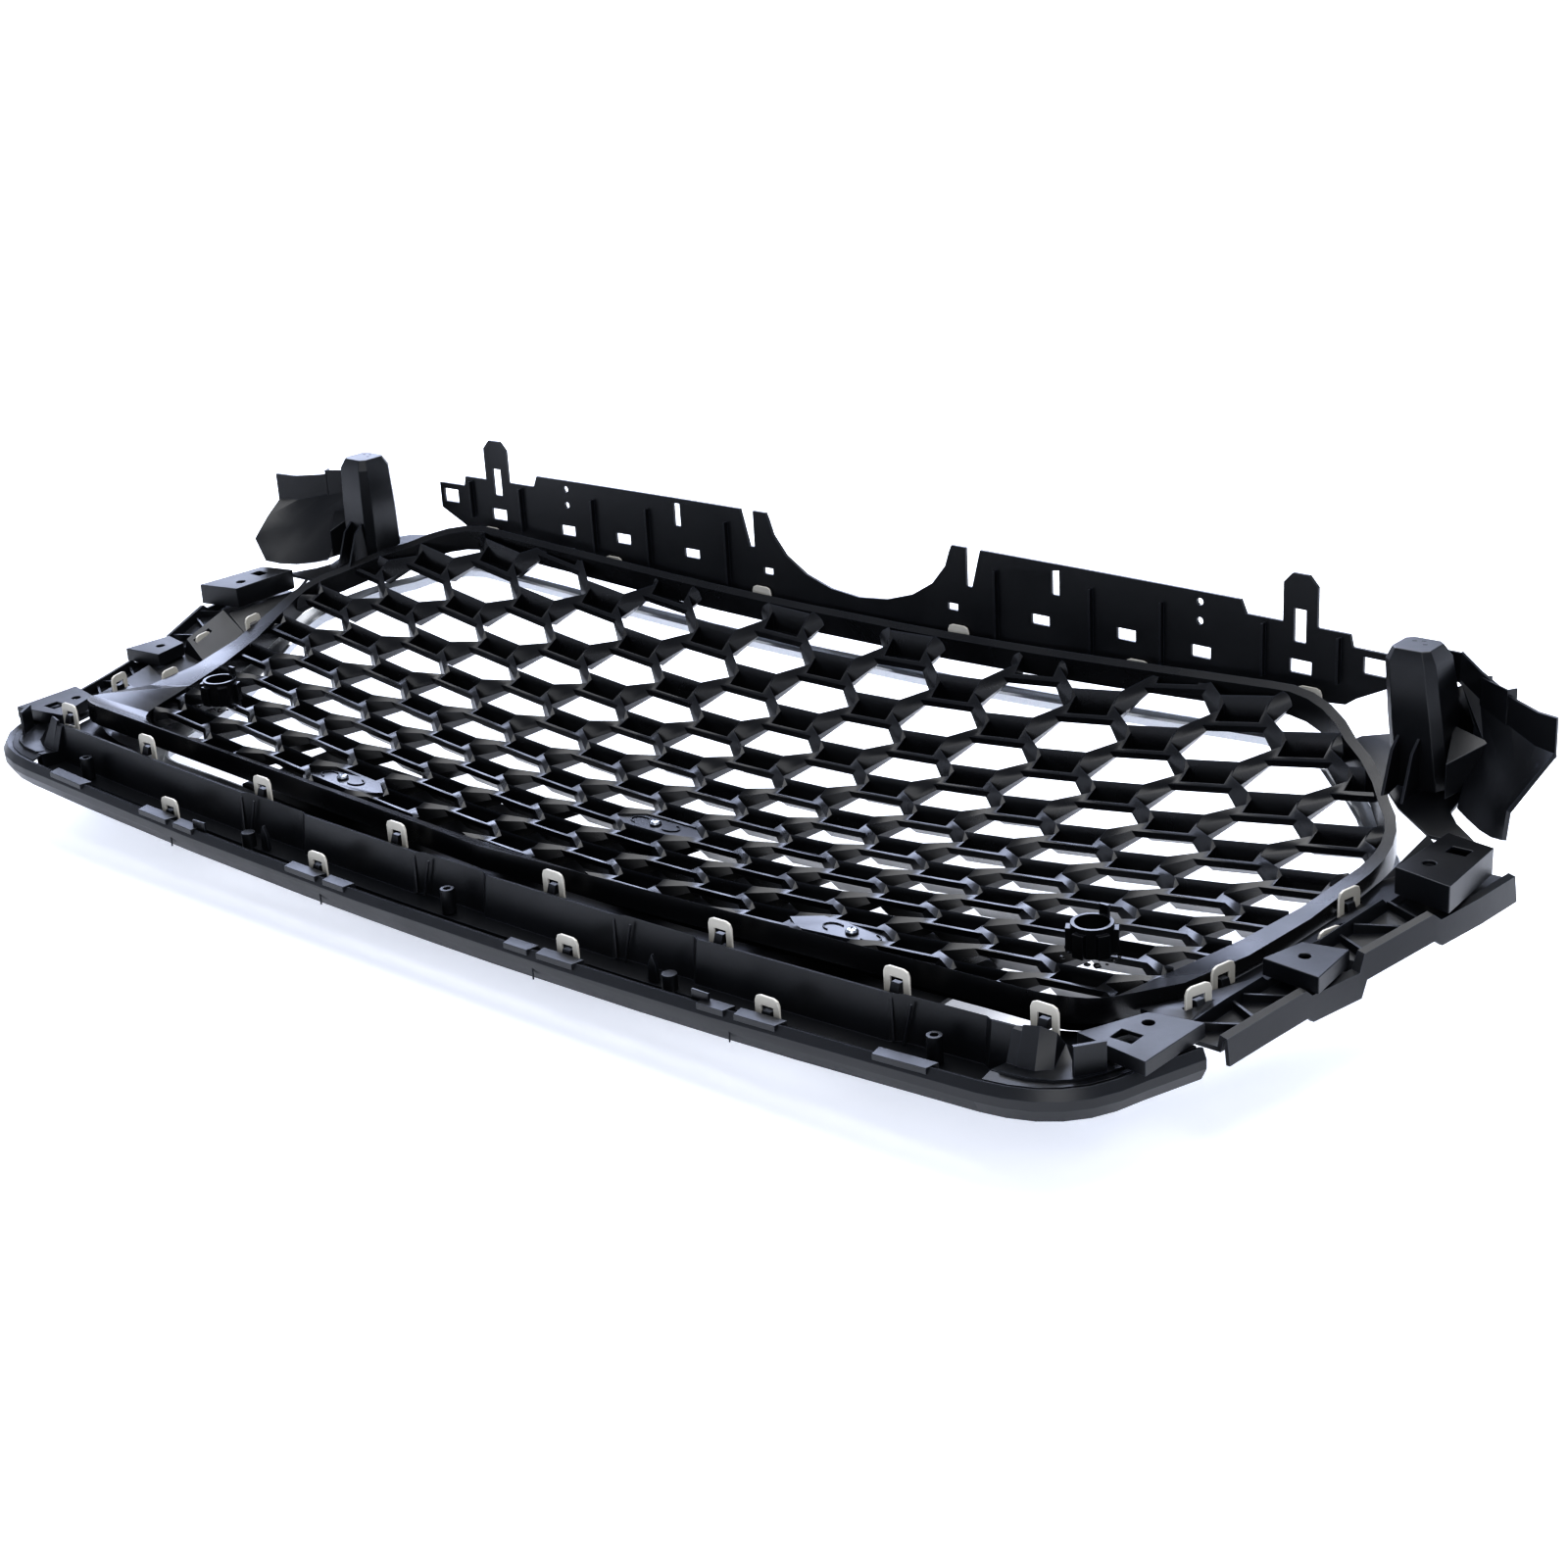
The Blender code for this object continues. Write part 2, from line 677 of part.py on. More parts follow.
def loop_plate(where, top, facing, height=LOOP_HEIGHT, window=True):
    """Upright loop: a plate with rounded shoulders and a square window for its hook."""
    half = LOOP_WIDTH / 2
    corner = 4.0
    outline = [(-half, -height), (half, -height), (half, -corner), (half - 1.2, -1.2),
               (half - corner, 0), (-half + corner, 0), (-half + 1.2, -1.2), (-half, -corner)]
    inner = LOOP_WINDOW / 2
    holes = []
    if window:
        holes = [[(-inner, -height + 3), (inner, -height + 3), (inner, -6.0), (-inner, -6.0)]]
    bm = slab(outline, holes, LOOP_THICK)
    spin = Matrix.Rotation(math.radians(facing), 3, "Z") @ Matrix.Rotation(math.radians(90), 3, "X")
    bmesh.ops.rotate(bm, matrix=spin, verts=bm.verts)
    bmesh.ops.translate(bm, vec=(where[0], where[1], top), verts=bm.verts)
    return bm


def both_sides(places):
    return [(side * x, y, top, side * facing) for x, y, top, facing in places for side in (1, -1)]


def add_plates(name, places, height=LOOP_HEIGHT, window=True):
    """One part for each loop, numbered from the left of the car to the right."""
    for number, (x, y, top, facing) in enumerate(sorted(places), start=1):
        plate = loop_plate((x, y), top, facing, height, window)
        place(f"{name}_{number}", plate, "nickel_grey", smooth=False)


def add_loops():
    inner = [(x, INNER_LOOP_Y, INNER_LOOP_TOP + bow(x), 0) for x in INNER_LOOPS]
    inner.append((*CORNER_LOOP, INNER_LOOP_TOP + bow(CORNER_LOOP[0]), 0))
    add_plates("inner_loop", both_sides(inner))
    add_plates("outer_loop", both_sides([(x, OUTER_LOOP_Y, OUTER_LOOP_TOP + bow(x), 0)
                                         for x in OUTER_LOOPS]))
    add_plates("side_loop", both_sides([(x, y, frame_height(x, y) + 7.0, facing)
                                        for x, y, facing in SIDE_LOOPS]))
    add_plates("top_tab", both_sides([(x, panel_y(x) - 3.2, top, 0) for x, top in TOP_TABS]),
               height=TAB_HEIGHT, window=False)


TAB_HEIGHT = 11.0
SIDE_LOOPS = ((480.0, -151.0, 72.0), (471.0, -111.0, 78.0), (503.5, -53.0, 76.0), (492.5, -11.0, 78.0))
CORNER_LOOP = (434.0, -226.0)
TOP_TABS = ((92.0, 93.0), (243.0, 95.0), (375.0, 102.0))


# ---------------------------------------------------------------- bottom channel and lip

GROOVES = (-211.0, -36.0, 141.0, 350.0)
PANEL_RECESS = 55.0
GROOVE_HALF = 7.0
STEP_DEPTH = 4.0


def channel_stations():
    """X of each section of the channel and how far the wall is set back there."""
    stations = [(-CHANNEL_HALF, 0.0), (CHANNEL_HALF, 0.0), (-310.0, 0.0), (-120.0, 0.0),
                (60.0, 0.0), (240.0, 0.0), (300.0, 0.0)]
    for x in GROOVES:
        stations += [(x - GROOVE_HALF, 0.0), (x, STEP_DEPTH)]
        end = min(x + PANEL_RECESS, CHANNEL_HALF - 12.0)
        stations += [(end, STEP_DEPTH), (end + 5.0, 0.0)]
    return sorted(stations)


def add_channel():
    rows = []
    for x, back in channel_stations():
        rise = bow(x)
        rows.append([(x, FRAME_BOTTOM - 2.8, SHELF + rise), (x, WALL_Y + 5.2, SHELF + rise),
                     (x, WALL_Y + 3.6, WALL_TOP + rise - 2.0),
                     (x, WALL_Y + 0.6 * back, WALL_TOP + rise),
                     (x, WALL_Y - 4.0 + back, FLOOR_Z + rise),
                     (x, OUTER_LOOP_Y + 3.2, FLOOR_Z + rise)])
    thicken(place("channel_wall", grid(rows), "satin_black"), SKIN)


NOSE = ((424.0, 0.0), (440.0, 1.2), (455.0, 5.0), (467.0, 11.5), (477.0, 21.0), (484.0, 33.0),
        (489.5, 50.0), (496.0, 67.0), (502.5, 84.0))


def lip_path():
    """Plan points along the right half of the lip, with the set-back of the nose."""
    straight = [(x, 0.0) for x in (0.0, 60.0, 120.0, 180.0, 240.0, 300.0, 360.0)]
    return [Vector((x, LIP_Y + back)) for x, back in (*straight, *NOSE)]


def add_lip():
    right = lip_path()
    path = [Vector((-p.x, p.y)) for p in reversed(right[1:])] + right
    rows = []
    for k, p in enumerate(path):
        ahead = path[min(k + 1, len(path) - 1)]
        behind = path[max(k - 1, 0)]
        run_ = (ahead - behind).normalized()
        out = Vector((run_.y, -run_.x))
        rise = PITCH * LIP_BOW * (p.x / PITCH) ** 2
        inner = FLOOR_Z + bow(p.x) - rise
        section = ((7.0, inner), (2.0, inner), (0.5, LIP_TOP - 1.5), (-2.5, LIP_TOP),
                   (-5.0, LIP_TOP - 5.0), (-5.0, 1.0), (-1.0, LIP_BOTTOM), (9.0, LIP_BOTTOM - 2.0))
        rows.append([((p - out * d).x, (p - out * d).y, z + rise) for d, z in section])
    thicken(place("lower_lip", grid(rows), "satin_black"), 2.0)


def add_bosses():
    for name, x in (("boss_left", -BOSS_X), ("boss_middle", 0.0), ("boss_right", BOSS_X)):
        base = FLOOR_Z + SKIN / 2 + GAP + bow(x) + 0.4
        bm = tube((x, BOSS_Y + 5.0), BOSS_RADIUS, BOSS_BORE, base, BOSS_TOP + bow(x), 20)
        place(name, bm, "satin_black")
    for name, x in (("locating_pin_left", -PIN_X), ("locating_pin_right", PIN_X)):
        base = FLOOR_Z + SKIN / 2 + GAP + bow(x) + 0.2
        blade = [(-4.0, 0.0), (4.0, 0.0), (3.0, 11.0), (0.0, 17.0), (-3.0, 11.0)]
        pin = slab(blade, (), 2.4)
        upright = Matrix.Rotation(math.radians(90), 3, "X")
        bmesh.ops.rotate(pin, matrix=upright, verts=pin.verts)
        bmesh.ops.translate(pin, vec=(x, BOSS_Y + 3.0, base), verts=pin.verts)
        place(name, pin, "satin_black", smooth=False)


# ---------------------------------------------------------------- sides

# Across the corner, from the channel round to the side rail: outer edge, middle and raised inner edge
CORNER_ROWS = (
    ((430.0, -262.0, 27.0), (446.0, -261.0, 27.5), (460.0, -256.0, 28.0), (470.0, -248.0, 28.5),
     (477.0, -236.0, 28.5), (484.0, -214.0, 28.0), (489.0, -196.0, 27.0), (492.0, -177.0, 26.0)),
    ((430.0, -247.0, 23.0), (442.0, -247.0, 24.0), (451.0, -243.0, 26.0), (459.0, -237.0, 28.0),
     (466.0, -228.0, 28.0), (474.0, -208.0, 28.0), (480.0, -194.0, 27.0), (482.0, -177.0, 26.0)),
    ((430.0, -239.0, 45.0), (439.0, -237.0, 46.0), (446.0, -232.5, 42.0), (448.0, -228.5, 34.0),
     (453.0, -221.0, 26.5), (461.0, -204.0, 27.5), (466.0, -190.0, 27.0), (468.0, -177.0, 26.0)),
)
BRACKET_CORNER = ((453.0, -222.0), (470.0, -184.0), (499.0, -178.0), (497.0, -229.0))
BRACKET_CORNER_TOP = 39.0
BRACKET_LOWER = ((493.0, -104.0), (500.0, -76.0), (524.0, -71.0), (527.0, -108.0))
BRACKET_LOWER_TOP = 45.0
BRACKET_UPPER = ((518.0, -4.0), (520.0, 54.0), (549.0, 48.0), (553.0, -12.0))
BRACKET_UPPER_TOP = 68.0


def add_corners():
    tab = slab([(-9.0, -4.5), (9.0, -4.5), (9.0, 15.0), (-9.0, 15.0)], (), 2.4)
    turn = Matrix.Rotation(math.radians(55), 3, "Z") @ Matrix.Rotation(math.radians(90), 3, "X")
    bmesh.ops.rotate(tab, matrix=turn, verts=tab.verts)
    bmesh.ops.translate(tab, vec=(471.0, -240.0, 32.0), verts=tab.verts)
    pair("corner_flange", grid(CORNER_ROWS), "satin_black", skin=SKIN, added=tab)


def bracket(plan, top, depth, holes):
    """Box-shaped bracket, open underneath, with holes in its top."""
    bm = filled(plan, holes)
    for v in bm.verts:
        v.co.z = top
    edge = [bm.verts.new((p[0], p[1], top - depth)) for p in plan]
    upper = [min(bm.verts, key=lambda v, p=p: (v.co - Vector((*p, top))).length) for p in plan]
    count = len(plan)
    for k in range(count):
        n = (k + 1) % count
        bm.faces.new((upper[k], upper[n], edge[n], edge[k]))
    bmesh.ops.recalc_face_normals(bm, faces=bm.faces)
    return bm


def circle(centre, radius, sides=12):
    return [(centre[0] + radius * math.cos(math.tau * k / sides),
             centre[1] + radius * math.sin(math.tau * k / sides)) for k in range(sides)]


def rectangle(centre, width, height):
    x, y = centre
    w = width / 2
    h = height / 2
    return [(x - w, y - h), (x + w, y - h), (x + w, y + h), (x - w, y + h)]


def add_brackets():
    corner = bracket(BRACKET_CORNER, BRACKET_CORNER_TOP, 7.5,
                     [circle((476.0, -193.0), 3.4), rectangle((475.0, -212.0), 13.0, 11.0)])
    pair("corner_bracket", corner, "satin_black", skin=2.2)
    lower = bracket(BRACKET_LOWER, BRACKET_LOWER_TOP, 9.0, [circle((509.0, -90.0), 3.4)])
    pair("lower_bracket", lower, "satin_black", skin=2.2)
    upper = bracket(BRACKET_UPPER, BRACKET_UPPER_TOP, 15.0,
                    [circle((530.0, 10.0), 3.8), rectangle((536.0, 34.0), 12.0, 9.0)])
    pair("upper_bracket", upper, "satin_black", skin=2.2)


# Along each side: Y, then X of the trough's inner and outer wall, its floor and its wall height
RAIL_STATIONS = ((-172.0, 485.0, 507.0, 24.0, 7.0), (-140.0, 489.0, 513.0, 27.0, 7.0),
                 (-112.0, 495.0, 519.0, 30.0, 7.0), (-108.0, 496.0, 520.0, 30.5, 3.0),
                 (-70.0, 504.0, 528.0, 31.0, 3.0), (-66.0, 505.0, 529.0, 37.0, 7.0),
                 (-20.0, 517.0, 545.0, 46.0, 7.0), (-15.0, 517.0, 547.0, 46.0, 3.0),
                 (20.0, 519.0, 553.0, 47.0, 3.0), (58.0, 518.0, 556.0, 47.0, 3.0))


RIB_PLACES = ((-158.0, 1), (-140.0, -1), (-122.0, 1), (-58.0, -1), (-38.0, 1), (-20.0, -1))


def add_rails():
    rows = []
    for y, inner, outer, z, wall in RAIL_STATIONS:
        start = frame_side(y) + 3.4
        top = z + wall
        rows.append([(start, y, frame_height(start, y) - 9.0), (inner, y, top), (inner + 1.5, y, z),
                     (outer - 1.5, y, z), (outer, y, top), (outer + 2.4, y, top - 0.6),
                     (outer + 4.0, y, top - FASCIA)])
    ribs = []
    for y, lean in RIB_PLACES:
        inner, outer, z, _ = rail_at(y)
        a = Vector((inner + 1.0, y - 6.0 * lean))
        b = Vector((outer - 1.0, y + 6.0 * lean))
        side = Vector((b.y - a.y, a.x - b.x)).normalized() * 0.9
        plan = [a - side, b - side, b + side, a + side]
        ribs.append(prism(plan, z - 0.8, z + 6.0))
    pair("side_rail", grid(rows), "satin_black", skin=RAIL_SKIN, added=gather(ribs),
         removed=loop_slits())


def frame_side(y):
    """Outer edge of the insert's frame beside the cells."""
    low = Vector(FRAME_BOTTOM_CORNER)
    high = Vector(SHOULDER) + Vector((FRAME_SIDE, 0))
    return low.x + (high.x - low.x) * (y - low.y) / (high.y - low.y)


def loop_slits():
    """Slots in the carrier that the side loops come up through."""
    slits = []
    for x, y, facing in SIDE_LOOPS:
        slit = box((-LOOP_WIDTH / 2 - SLIT, -LOOP_THICK / 2 - SLIT, -30.0),
                   (LOOP_WIDTH / 2 + SLIT, LOOP_THICK / 2 + SLIT, 30.0))
        bmesh.ops.rotate(slit, matrix=Matrix.Rotation(math.radians(facing), 3, "Z"), verts=slit.verts)
        bmesh.ops.translate(slit, vec=(x, y, frame_height(x, y)), verts=slit.verts)
        slits.append(slit)
    return gather(slits)


def rail_at(y):
    for (y0, *low), (y1, *high) in zip(RAIL_STATIONS, RAIL_STATIONS[1:]):
        if y <= y1:
            t = (y - y0) / (y1 - y0)
            return [a + (b - a) * t for a, b in zip(low, high)]
    return list(RAIL_STATIONS[-1][1:])


def post_loop(centre, half, z, chamfer=0.3):
    x, y = centre
    c = half * chamfer
    plan = [(half, -half + c), (half, half - c), (half - c, half), (-half + c, half),
            (-half, half - c), (-half, -half + c), (-half + c, -half), (half - c, -half)]
    return [(x + a, y + b, z) for a, b in plan]


def add_columns():
    """Tall hollow post with a chamfered head, open underneath."""
    x, y, foot = COLUMN_FOOT
    levels = ((COLUMN_FLARE, foot), (COLUMN_HALF + 1.5, foot + 40.0),
              (COLUMN_HALF, COLUMN_TOP - 7.0), (COLUMN_HALF - 3.5, COLUMN_TOP))
    loops = []
    for half, z in levels:
        t = (z - foot) / (COLUMN_TOP - foot)
        loops.append(post_loop((x + COLUMN_LEAN[0] * t, y + COLUMN_LEAN[1] * t), half, z))
    loops[0] = [(a, b, base_height(a, b) + 4.5) for a, b, _ in loops[0]]
    bm = grid(loops, closed=True)
    top = [v for v in bm.verts if abs(v.co.z - COLUMN_TOP) < 0.01]
    bmesh.ops.contextual_create(bm, geom=top)
    bmesh.ops.recalc_face_normals(bm, faces=bm.faces)
    pair("column", bm, "satin_black", skin=2.4)


def base_height(x, y):
    return 60.0 + 0.28 * (y - 60.0)


BASE_PLAN = ((504.0, 61.5), (536.0, 61.5), (526.0, 69.0), (514.0, 77.0), (505.5, 86.0), (505.0, 130.0),
             (484.0, 134.0), (468.0, 144.0), (450.0, 148.0), (436.0, 145.0), (420.0, 137.0),
             (417.0, 132.0), (445.0, 107.0), (474.6, 80.0))


def add_bases():
    """Floor between the frame, the wing, the upper bracket and the panel, under the column."""
    bm = filled(BASE_PLAN)
    for v in bm.verts:
        v.co.z = base_height(v.co.x, v.co.y)
    pair("column_base", bm, "satin_black", skin=RAIL_SKIN)


# From the foot of the rim down to the bottom edge, each row from the column outwards
WING_ROWS = (
    ((487.0, 130.0, 134.0), (503.0, 124.0, 126.0), (531.0, 107.0, 119.0), (551.0, 96.0, 115.0), (566.0, 88.0, 116.0)),
    ((504.0, 116.0, 113.0), (514.0, 108.0, 107.0), (532.0, 93.0, 101.0), (549.0, 80.0, 99.0), (562.0, 69.0, 105.0)),
    ((509.0, 100.0, 91.0), (518.0, 93.0, 87.0), (531.0, 80.0, 83.0), (545.0, 66.0, 82.0), (557.0, 50.0, 92.0)),
    ((510.0, 86.0, 71.0), (520.0, 79.0, 69.0), (532.0, 70.0, 68.0), (543.0, 62.0, 69.0), (553.0, 55.0, 72.0)),
)
WING_RIM_TOP = (151.0, 143.0, 137.0, 136.0, 138.0)


def add_wings():
    rim_wall = []
    for (x, y, z), high in zip(WING_ROWS[0], WING_RIM_TOP):
        rim_wall.append([(x, y - 1.4, z - 2.5), (x, y + 1.0, z - 2.5),
                         (x, y + 1.0, high), (x, y - 1.4, high)])
    pair("wing", grid(WING_ROWS), "satin_black", skin=WING_SKIN, added=loft(rim_wall))


# ---------------------------------------------------------------- upright panel

def half_panel():
    """Right half of the panel's outline as X and Z, from the notch's floor round to the foot."""
    notch = [(NOTCH_HALF * math.sin(a), PANEL_TOP - (PANEL_TOP - NOTCH_FLOOR) * math.cos(a))
             for a in (math.radians(d) for d in (0, 18, 36, 54, 72, 84))]
    finger = [(FINGER_X - FINGER_HALF, PANEL_STEP), (FINGER_X - FINGER_HALF, FINGER_TOP - 7),
              (FINGER_X - 6.0, FINGER_TOP), (FINGER_X + 6.0, FINGER_TOP),
              (FINGER_X + FINGER_HALF, FINGER_TOP - 7), (FINGER_X + FINGER_HALF, PANEL_STEP)]
    return notch + [(NOTCH_HALF + 2, PANEL_TOP), (98.5, PANEL_TOP), (98.5, 122.0), (103.5, 122.0),
                    (111.0, PANEL_TOP), (322.0, PANEL_TOP), (326.0, PANEL_STEP), *finger,
                    (402.0, PANEL_STEP), (404.0, PANEL_END), (432.0, PANEL_END),
                    (432.0, 112.0), (408.0, 100.0)]


# Openings in the right half of the panel: X, Z, width, height
PANEL_WINDOWS = ((86.0, 105.0, 9.0, 5.0), (162.0, 108.0, 15.0, 7.0), (175.0, 137.0, 6.5, 18.0),
                 (233.0, 110.0, 15.0, 8.0), (292.0, 109.0, 15.0, 8.0), (366.0, 140.0, 9.0, 22.0),
                 (367.0, 113.0, 16.0, 9.0), (420.0, 123.0, 16.0, 11.0))
PANEL_HOLES = ((291.0, 143.0, 2.6), (291.0, 130.0, 2.6))


def foot_height(x):
    return rim(x, TOP_EDGE - 5.0 - TOP_SAG * x ** 2) - 7.0


def add_panel():
    half = half_panel()
    foot = [(x, foot_height(x)) for x in (400.0, 340.0, 270.0, 200.0, 130.0, 60.0)]
    right = half + foot + [(0.0, foot_height(0.0))]
    left = [(-x, z) for x, z in reversed(right[1:-1])]
    holes = []
    for side in (1, -1):
        holes += [rectangle((side * x, z), w, h) for x, z, w, h in PANEL_WINDOWS]
        holes += [circle((side * x, z), r, 10) for x, z, r in PANEL_HOLES]
    bm = filled(right + left, holes, slices=[45.0 * k for k in range(-9, 10)])
    for v in bm.verts:
        x, z = v.co.x, v.co.y
        v.co = (x, panel_y(x), z)
    panel = thicken(place("top_panel", bm, "satin_black"), PANEL_SKIN)
    ribs = []
    for x in PANEL_RIBS:
        for side in (1, -1):
            y = panel_y(x)
            ribs.append(box((side * x - 0.9, y - 5.0, foot_height(x) + 14.0),
                            (side * x + 0.9, y, PANEL_TOP - 12.0)))
    combine(panel, gather(ribs), "UNION")


PANEL_RIBS = (125.0, 205.0, 262.0, 340.0, 395.0)


# ---------------------------------------------------------------- assembly

def set_origin():
    """Move everything so that the origin is under the middle of the box, at floor level."""
    bpy.context.view_layer.update()
    depsgraph = bpy.context.evaluated_depsgraph_get()
    corners = []
    for part in GRILLE.objects:
        solid = part.evaluated_get(depsgraph)
        corners += [v.co.copy() for v in solid.data.vertices]
    low = [min(c[k] for c in corners) for k in range(3)]
    high = [max(c[k] for c in corners) for k in range(3)]
    shift = Vector((-(low[0] + high[0]) / 2, -(low[1] + high[1]) / 2, -low[2]))
    for part in list(GRILLE.objects) + list(CUTTERS.objects):
        part.location = shift


add_honeycomb()
add_insert_frame()
add_screws()
add_blanking_plate()
add_sensor_holders()
add_surround()
add_loops()
add_channel()
add_lip()
add_bosses()
add_corners()
add_brackets()
add_rails()
add_columns()
add_bases()
add_wings()
add_panel()
set_origin()
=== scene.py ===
"""Front grille of a car, lying face down: the looks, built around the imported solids."""

import math

import bmesh
import bpy
from mathutils import Matrix, Vector


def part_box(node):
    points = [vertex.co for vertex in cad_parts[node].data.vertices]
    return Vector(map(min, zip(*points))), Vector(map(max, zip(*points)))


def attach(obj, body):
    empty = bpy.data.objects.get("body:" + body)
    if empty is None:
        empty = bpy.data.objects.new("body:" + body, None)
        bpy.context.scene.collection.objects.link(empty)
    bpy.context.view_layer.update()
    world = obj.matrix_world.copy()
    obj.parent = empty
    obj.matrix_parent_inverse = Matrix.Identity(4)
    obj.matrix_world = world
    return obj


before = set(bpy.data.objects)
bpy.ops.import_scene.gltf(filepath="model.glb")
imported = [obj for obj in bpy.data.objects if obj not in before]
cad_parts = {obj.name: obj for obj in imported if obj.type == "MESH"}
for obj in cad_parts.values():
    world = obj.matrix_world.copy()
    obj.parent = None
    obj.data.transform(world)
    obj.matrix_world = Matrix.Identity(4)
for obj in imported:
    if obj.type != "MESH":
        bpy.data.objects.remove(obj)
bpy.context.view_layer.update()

# ---------------------------------------------------------------- studio
# A white sweep under three large soft lamps. The camera stands low at the right-hand end of the
# bottom lip, where it sees the back of the grille along its length.

CAMERA_AT = (1.1025, -1.1165, 0.6742)
CAMERA_AZIMUTH = 0.72634
CAMERA_ELEVATION = 0.37450
CAMERA_ROLL = -0.058965
CAMERA_LENS = 56.94
FLOOR_RADIUS = 8.0
SWEEP = 4.0
FLOOR_CLEARANCE = 0.0005


def linear(code):
    """Linear colour from an sRGB hex code."""
    parts = [int(code[k:k + 2], 16) / 255 for k in (1, 3, 5)]
    return [c / 12.92 if c <= 0.04045 else ((c + 0.055) / 1.055) ** 2.4 for c in parts] + [1.0]


def node(tree, kind, settings=None, links=None):
    """Add a node, set its properties and sockets, and link sockets to other nodes' outputs."""
    made = tree.nodes.new(kind)
    for key, value in (settings or {}).items():
        if isinstance(key, str) and key not in made.inputs and hasattr(made, key):
            setattr(made, key, value)
        else:
            made.inputs[key].default_value = value
    for key, output in (links or {}).items():
        tree.links.new(output, made.inputs[key])
    return made


def new_material(name):
    """New empty material and its node tree."""
    made = bpy.data.materials.new(name)
    made.use_nodes = True
    made.node_tree.nodes.clear()
    return made, made.node_tree


def finish_material(tree, shader):
    """Send a shader to the material's surface."""
    node(tree, "ShaderNodeOutputMaterial", links={"Surface": shader.outputs[0]})


def place_camera():
    """Camera at its measured place, turned by its azimuth, elevation and roll."""
    az, el, roll = CAMERA_AZIMUTH, CAMERA_ELEVATION, CAMERA_ROLL
    ahead = Vector((-math.sin(az) * math.cos(el), math.cos(az) * math.cos(el), -math.sin(el)))
    level = Vector((math.cos(az), math.sin(az), 0.0))
    above = level.cross(ahead)
    right = level * math.cos(roll) + above * math.sin(roll)
    up = above * math.cos(roll) - level * math.sin(roll)
    camera = bpy.data.objects.new("camera", bpy.data.cameras.new("camera"))
    camera.data.lens = CAMERA_LENS
    camera.data.sensor_width = 36.0
    camera.data.clip_end = 300.0
    turned = Matrix((right, up, -ahead)).transposed().to_4x4()
    camera.matrix_world = Matrix.Translation(CAMERA_AT) @ turned
    bpy.context.collection.objects.link(camera)
    bpy.context.scene.camera = camera


def soft_lamp(name, place, target, size, watts, colour):
    """Large rectangular lamp aimed at a point."""
    lamp = bpy.data.lights.new(name, "AREA")
    lamp.shape = "RECTANGLE"
    lamp.size, lamp.size_y = size
    lamp.energy = watts
    lamp.color = linear(colour)[:3]
    made = bpy.data.objects.new(name, lamp)
    made.location = place
    made.rotation_euler = (Vector(target) - Vector(place)).to_track_quat("-Z", "Y").to_euler()
    bpy.context.collection.objects.link(made)


def lay_floor():
    """Flat floor that curves up into a round wall far away, so no horizon shows."""
    profile = [(0.0, 0.0), (FLOOR_RADIUS, 0.0)]
    profile += [(FLOOR_RADIUS + SWEEP * math.sin(t), SWEEP - SWEEP * math.cos(t))
                for t in (math.radians(d) for d in range(10, 100, 10))]
    bm = bmesh.new()
    chain = [bm.verts.new((r, 0.0, z)) for r, z in profile]
    edges = [bm.edges.new(pair) for pair in zip(chain, chain[1:])]
    bmesh.ops.spin(bm, geom=chain + edges, cent=(0, 0, 0), axis=(0, 0, 1), angle=math.tau, steps=48)
    bmesh.ops.remove_doubles(bm, verts=bm.verts, dist=0.0001)
    mesh = bpy.data.meshes.new("floor")
    bm.to_mesh(mesh)
    bm.free()
    mesh.shade_smooth()
    floor = bpy.data.objects.new("floor", mesh)
    floor.location.z = -FLOOR_CLEARANCE
    bpy.context.collection.objects.link(floor)
    made, tree = new_material("matt_white_sweep")
    shader = node(tree, "ShaderNodeBsdfPrincipled",
                  {"Base Color": linear("#f4f6fa"), "Roughness": 0.62, "Emission Color": linear("#f3f6ff"),
                   "Emission Strength": 0.36})
    finish_material(tree, shader)
    mesh.materials.append(made)


place_camera()
lay_floor()
soft_lamp("lamp_over", (0.1, 0.5, 2.4), (0, 0, 0), (3.2, 2.2), 66.0, "#ffffff")
soft_lamp("lamp_back", (-1.9, 2.1, 1.5), (0, 0, 0.05), (2.4, 1.2), 52.0, "#dce5ff")
soft_lamp("lamp_front", (1.6, -2.4, 1.6), (0, -0.1, 0.05), (2.0, 1.4), 22.0, "#ffffff")
world = bpy.data.worlds.new("studio_walls")
world.use_nodes = True
world.node_tree.nodes["Background"].inputs["Color"].default_value = linear("#dfe6f6")
world.node_tree.nodes["Background"].inputs["Strength"].default_value = 0.42
bpy.context.scene.world = world
bpy.context.scene.view_settings.view_transform = "Standard"
bpy.context.scene.view_settings.look = "High Contrast"

# ---------------------------------------------------------------- honeycomb insert
# One injection moulding in glossy black ABS. Every bar is hollow at the back, with a thin rail
# along the lower edge and a taller collar along the upper one, and its edges catch the light.

GLOSS_BLACK = "#0a0b0e"
# bluish grey painted onto the rounded edges of the gloss ABS as a highlight
GLOSS_EDGE_HIGHLIGHT = "#191c23"
GLOSS_ROUGHNESS = 0.27
INSERT_EDGE = 0.0005
SOFT_ANGLE = 28
SAME_POINT = 0.00002
FLAT_WITHIN = 0.6
PLASTIC_IOR = 1.52
# radius over which the edges get the painted highlight
EDGE_HIGHLIGHT_RADIUS = 0.0012


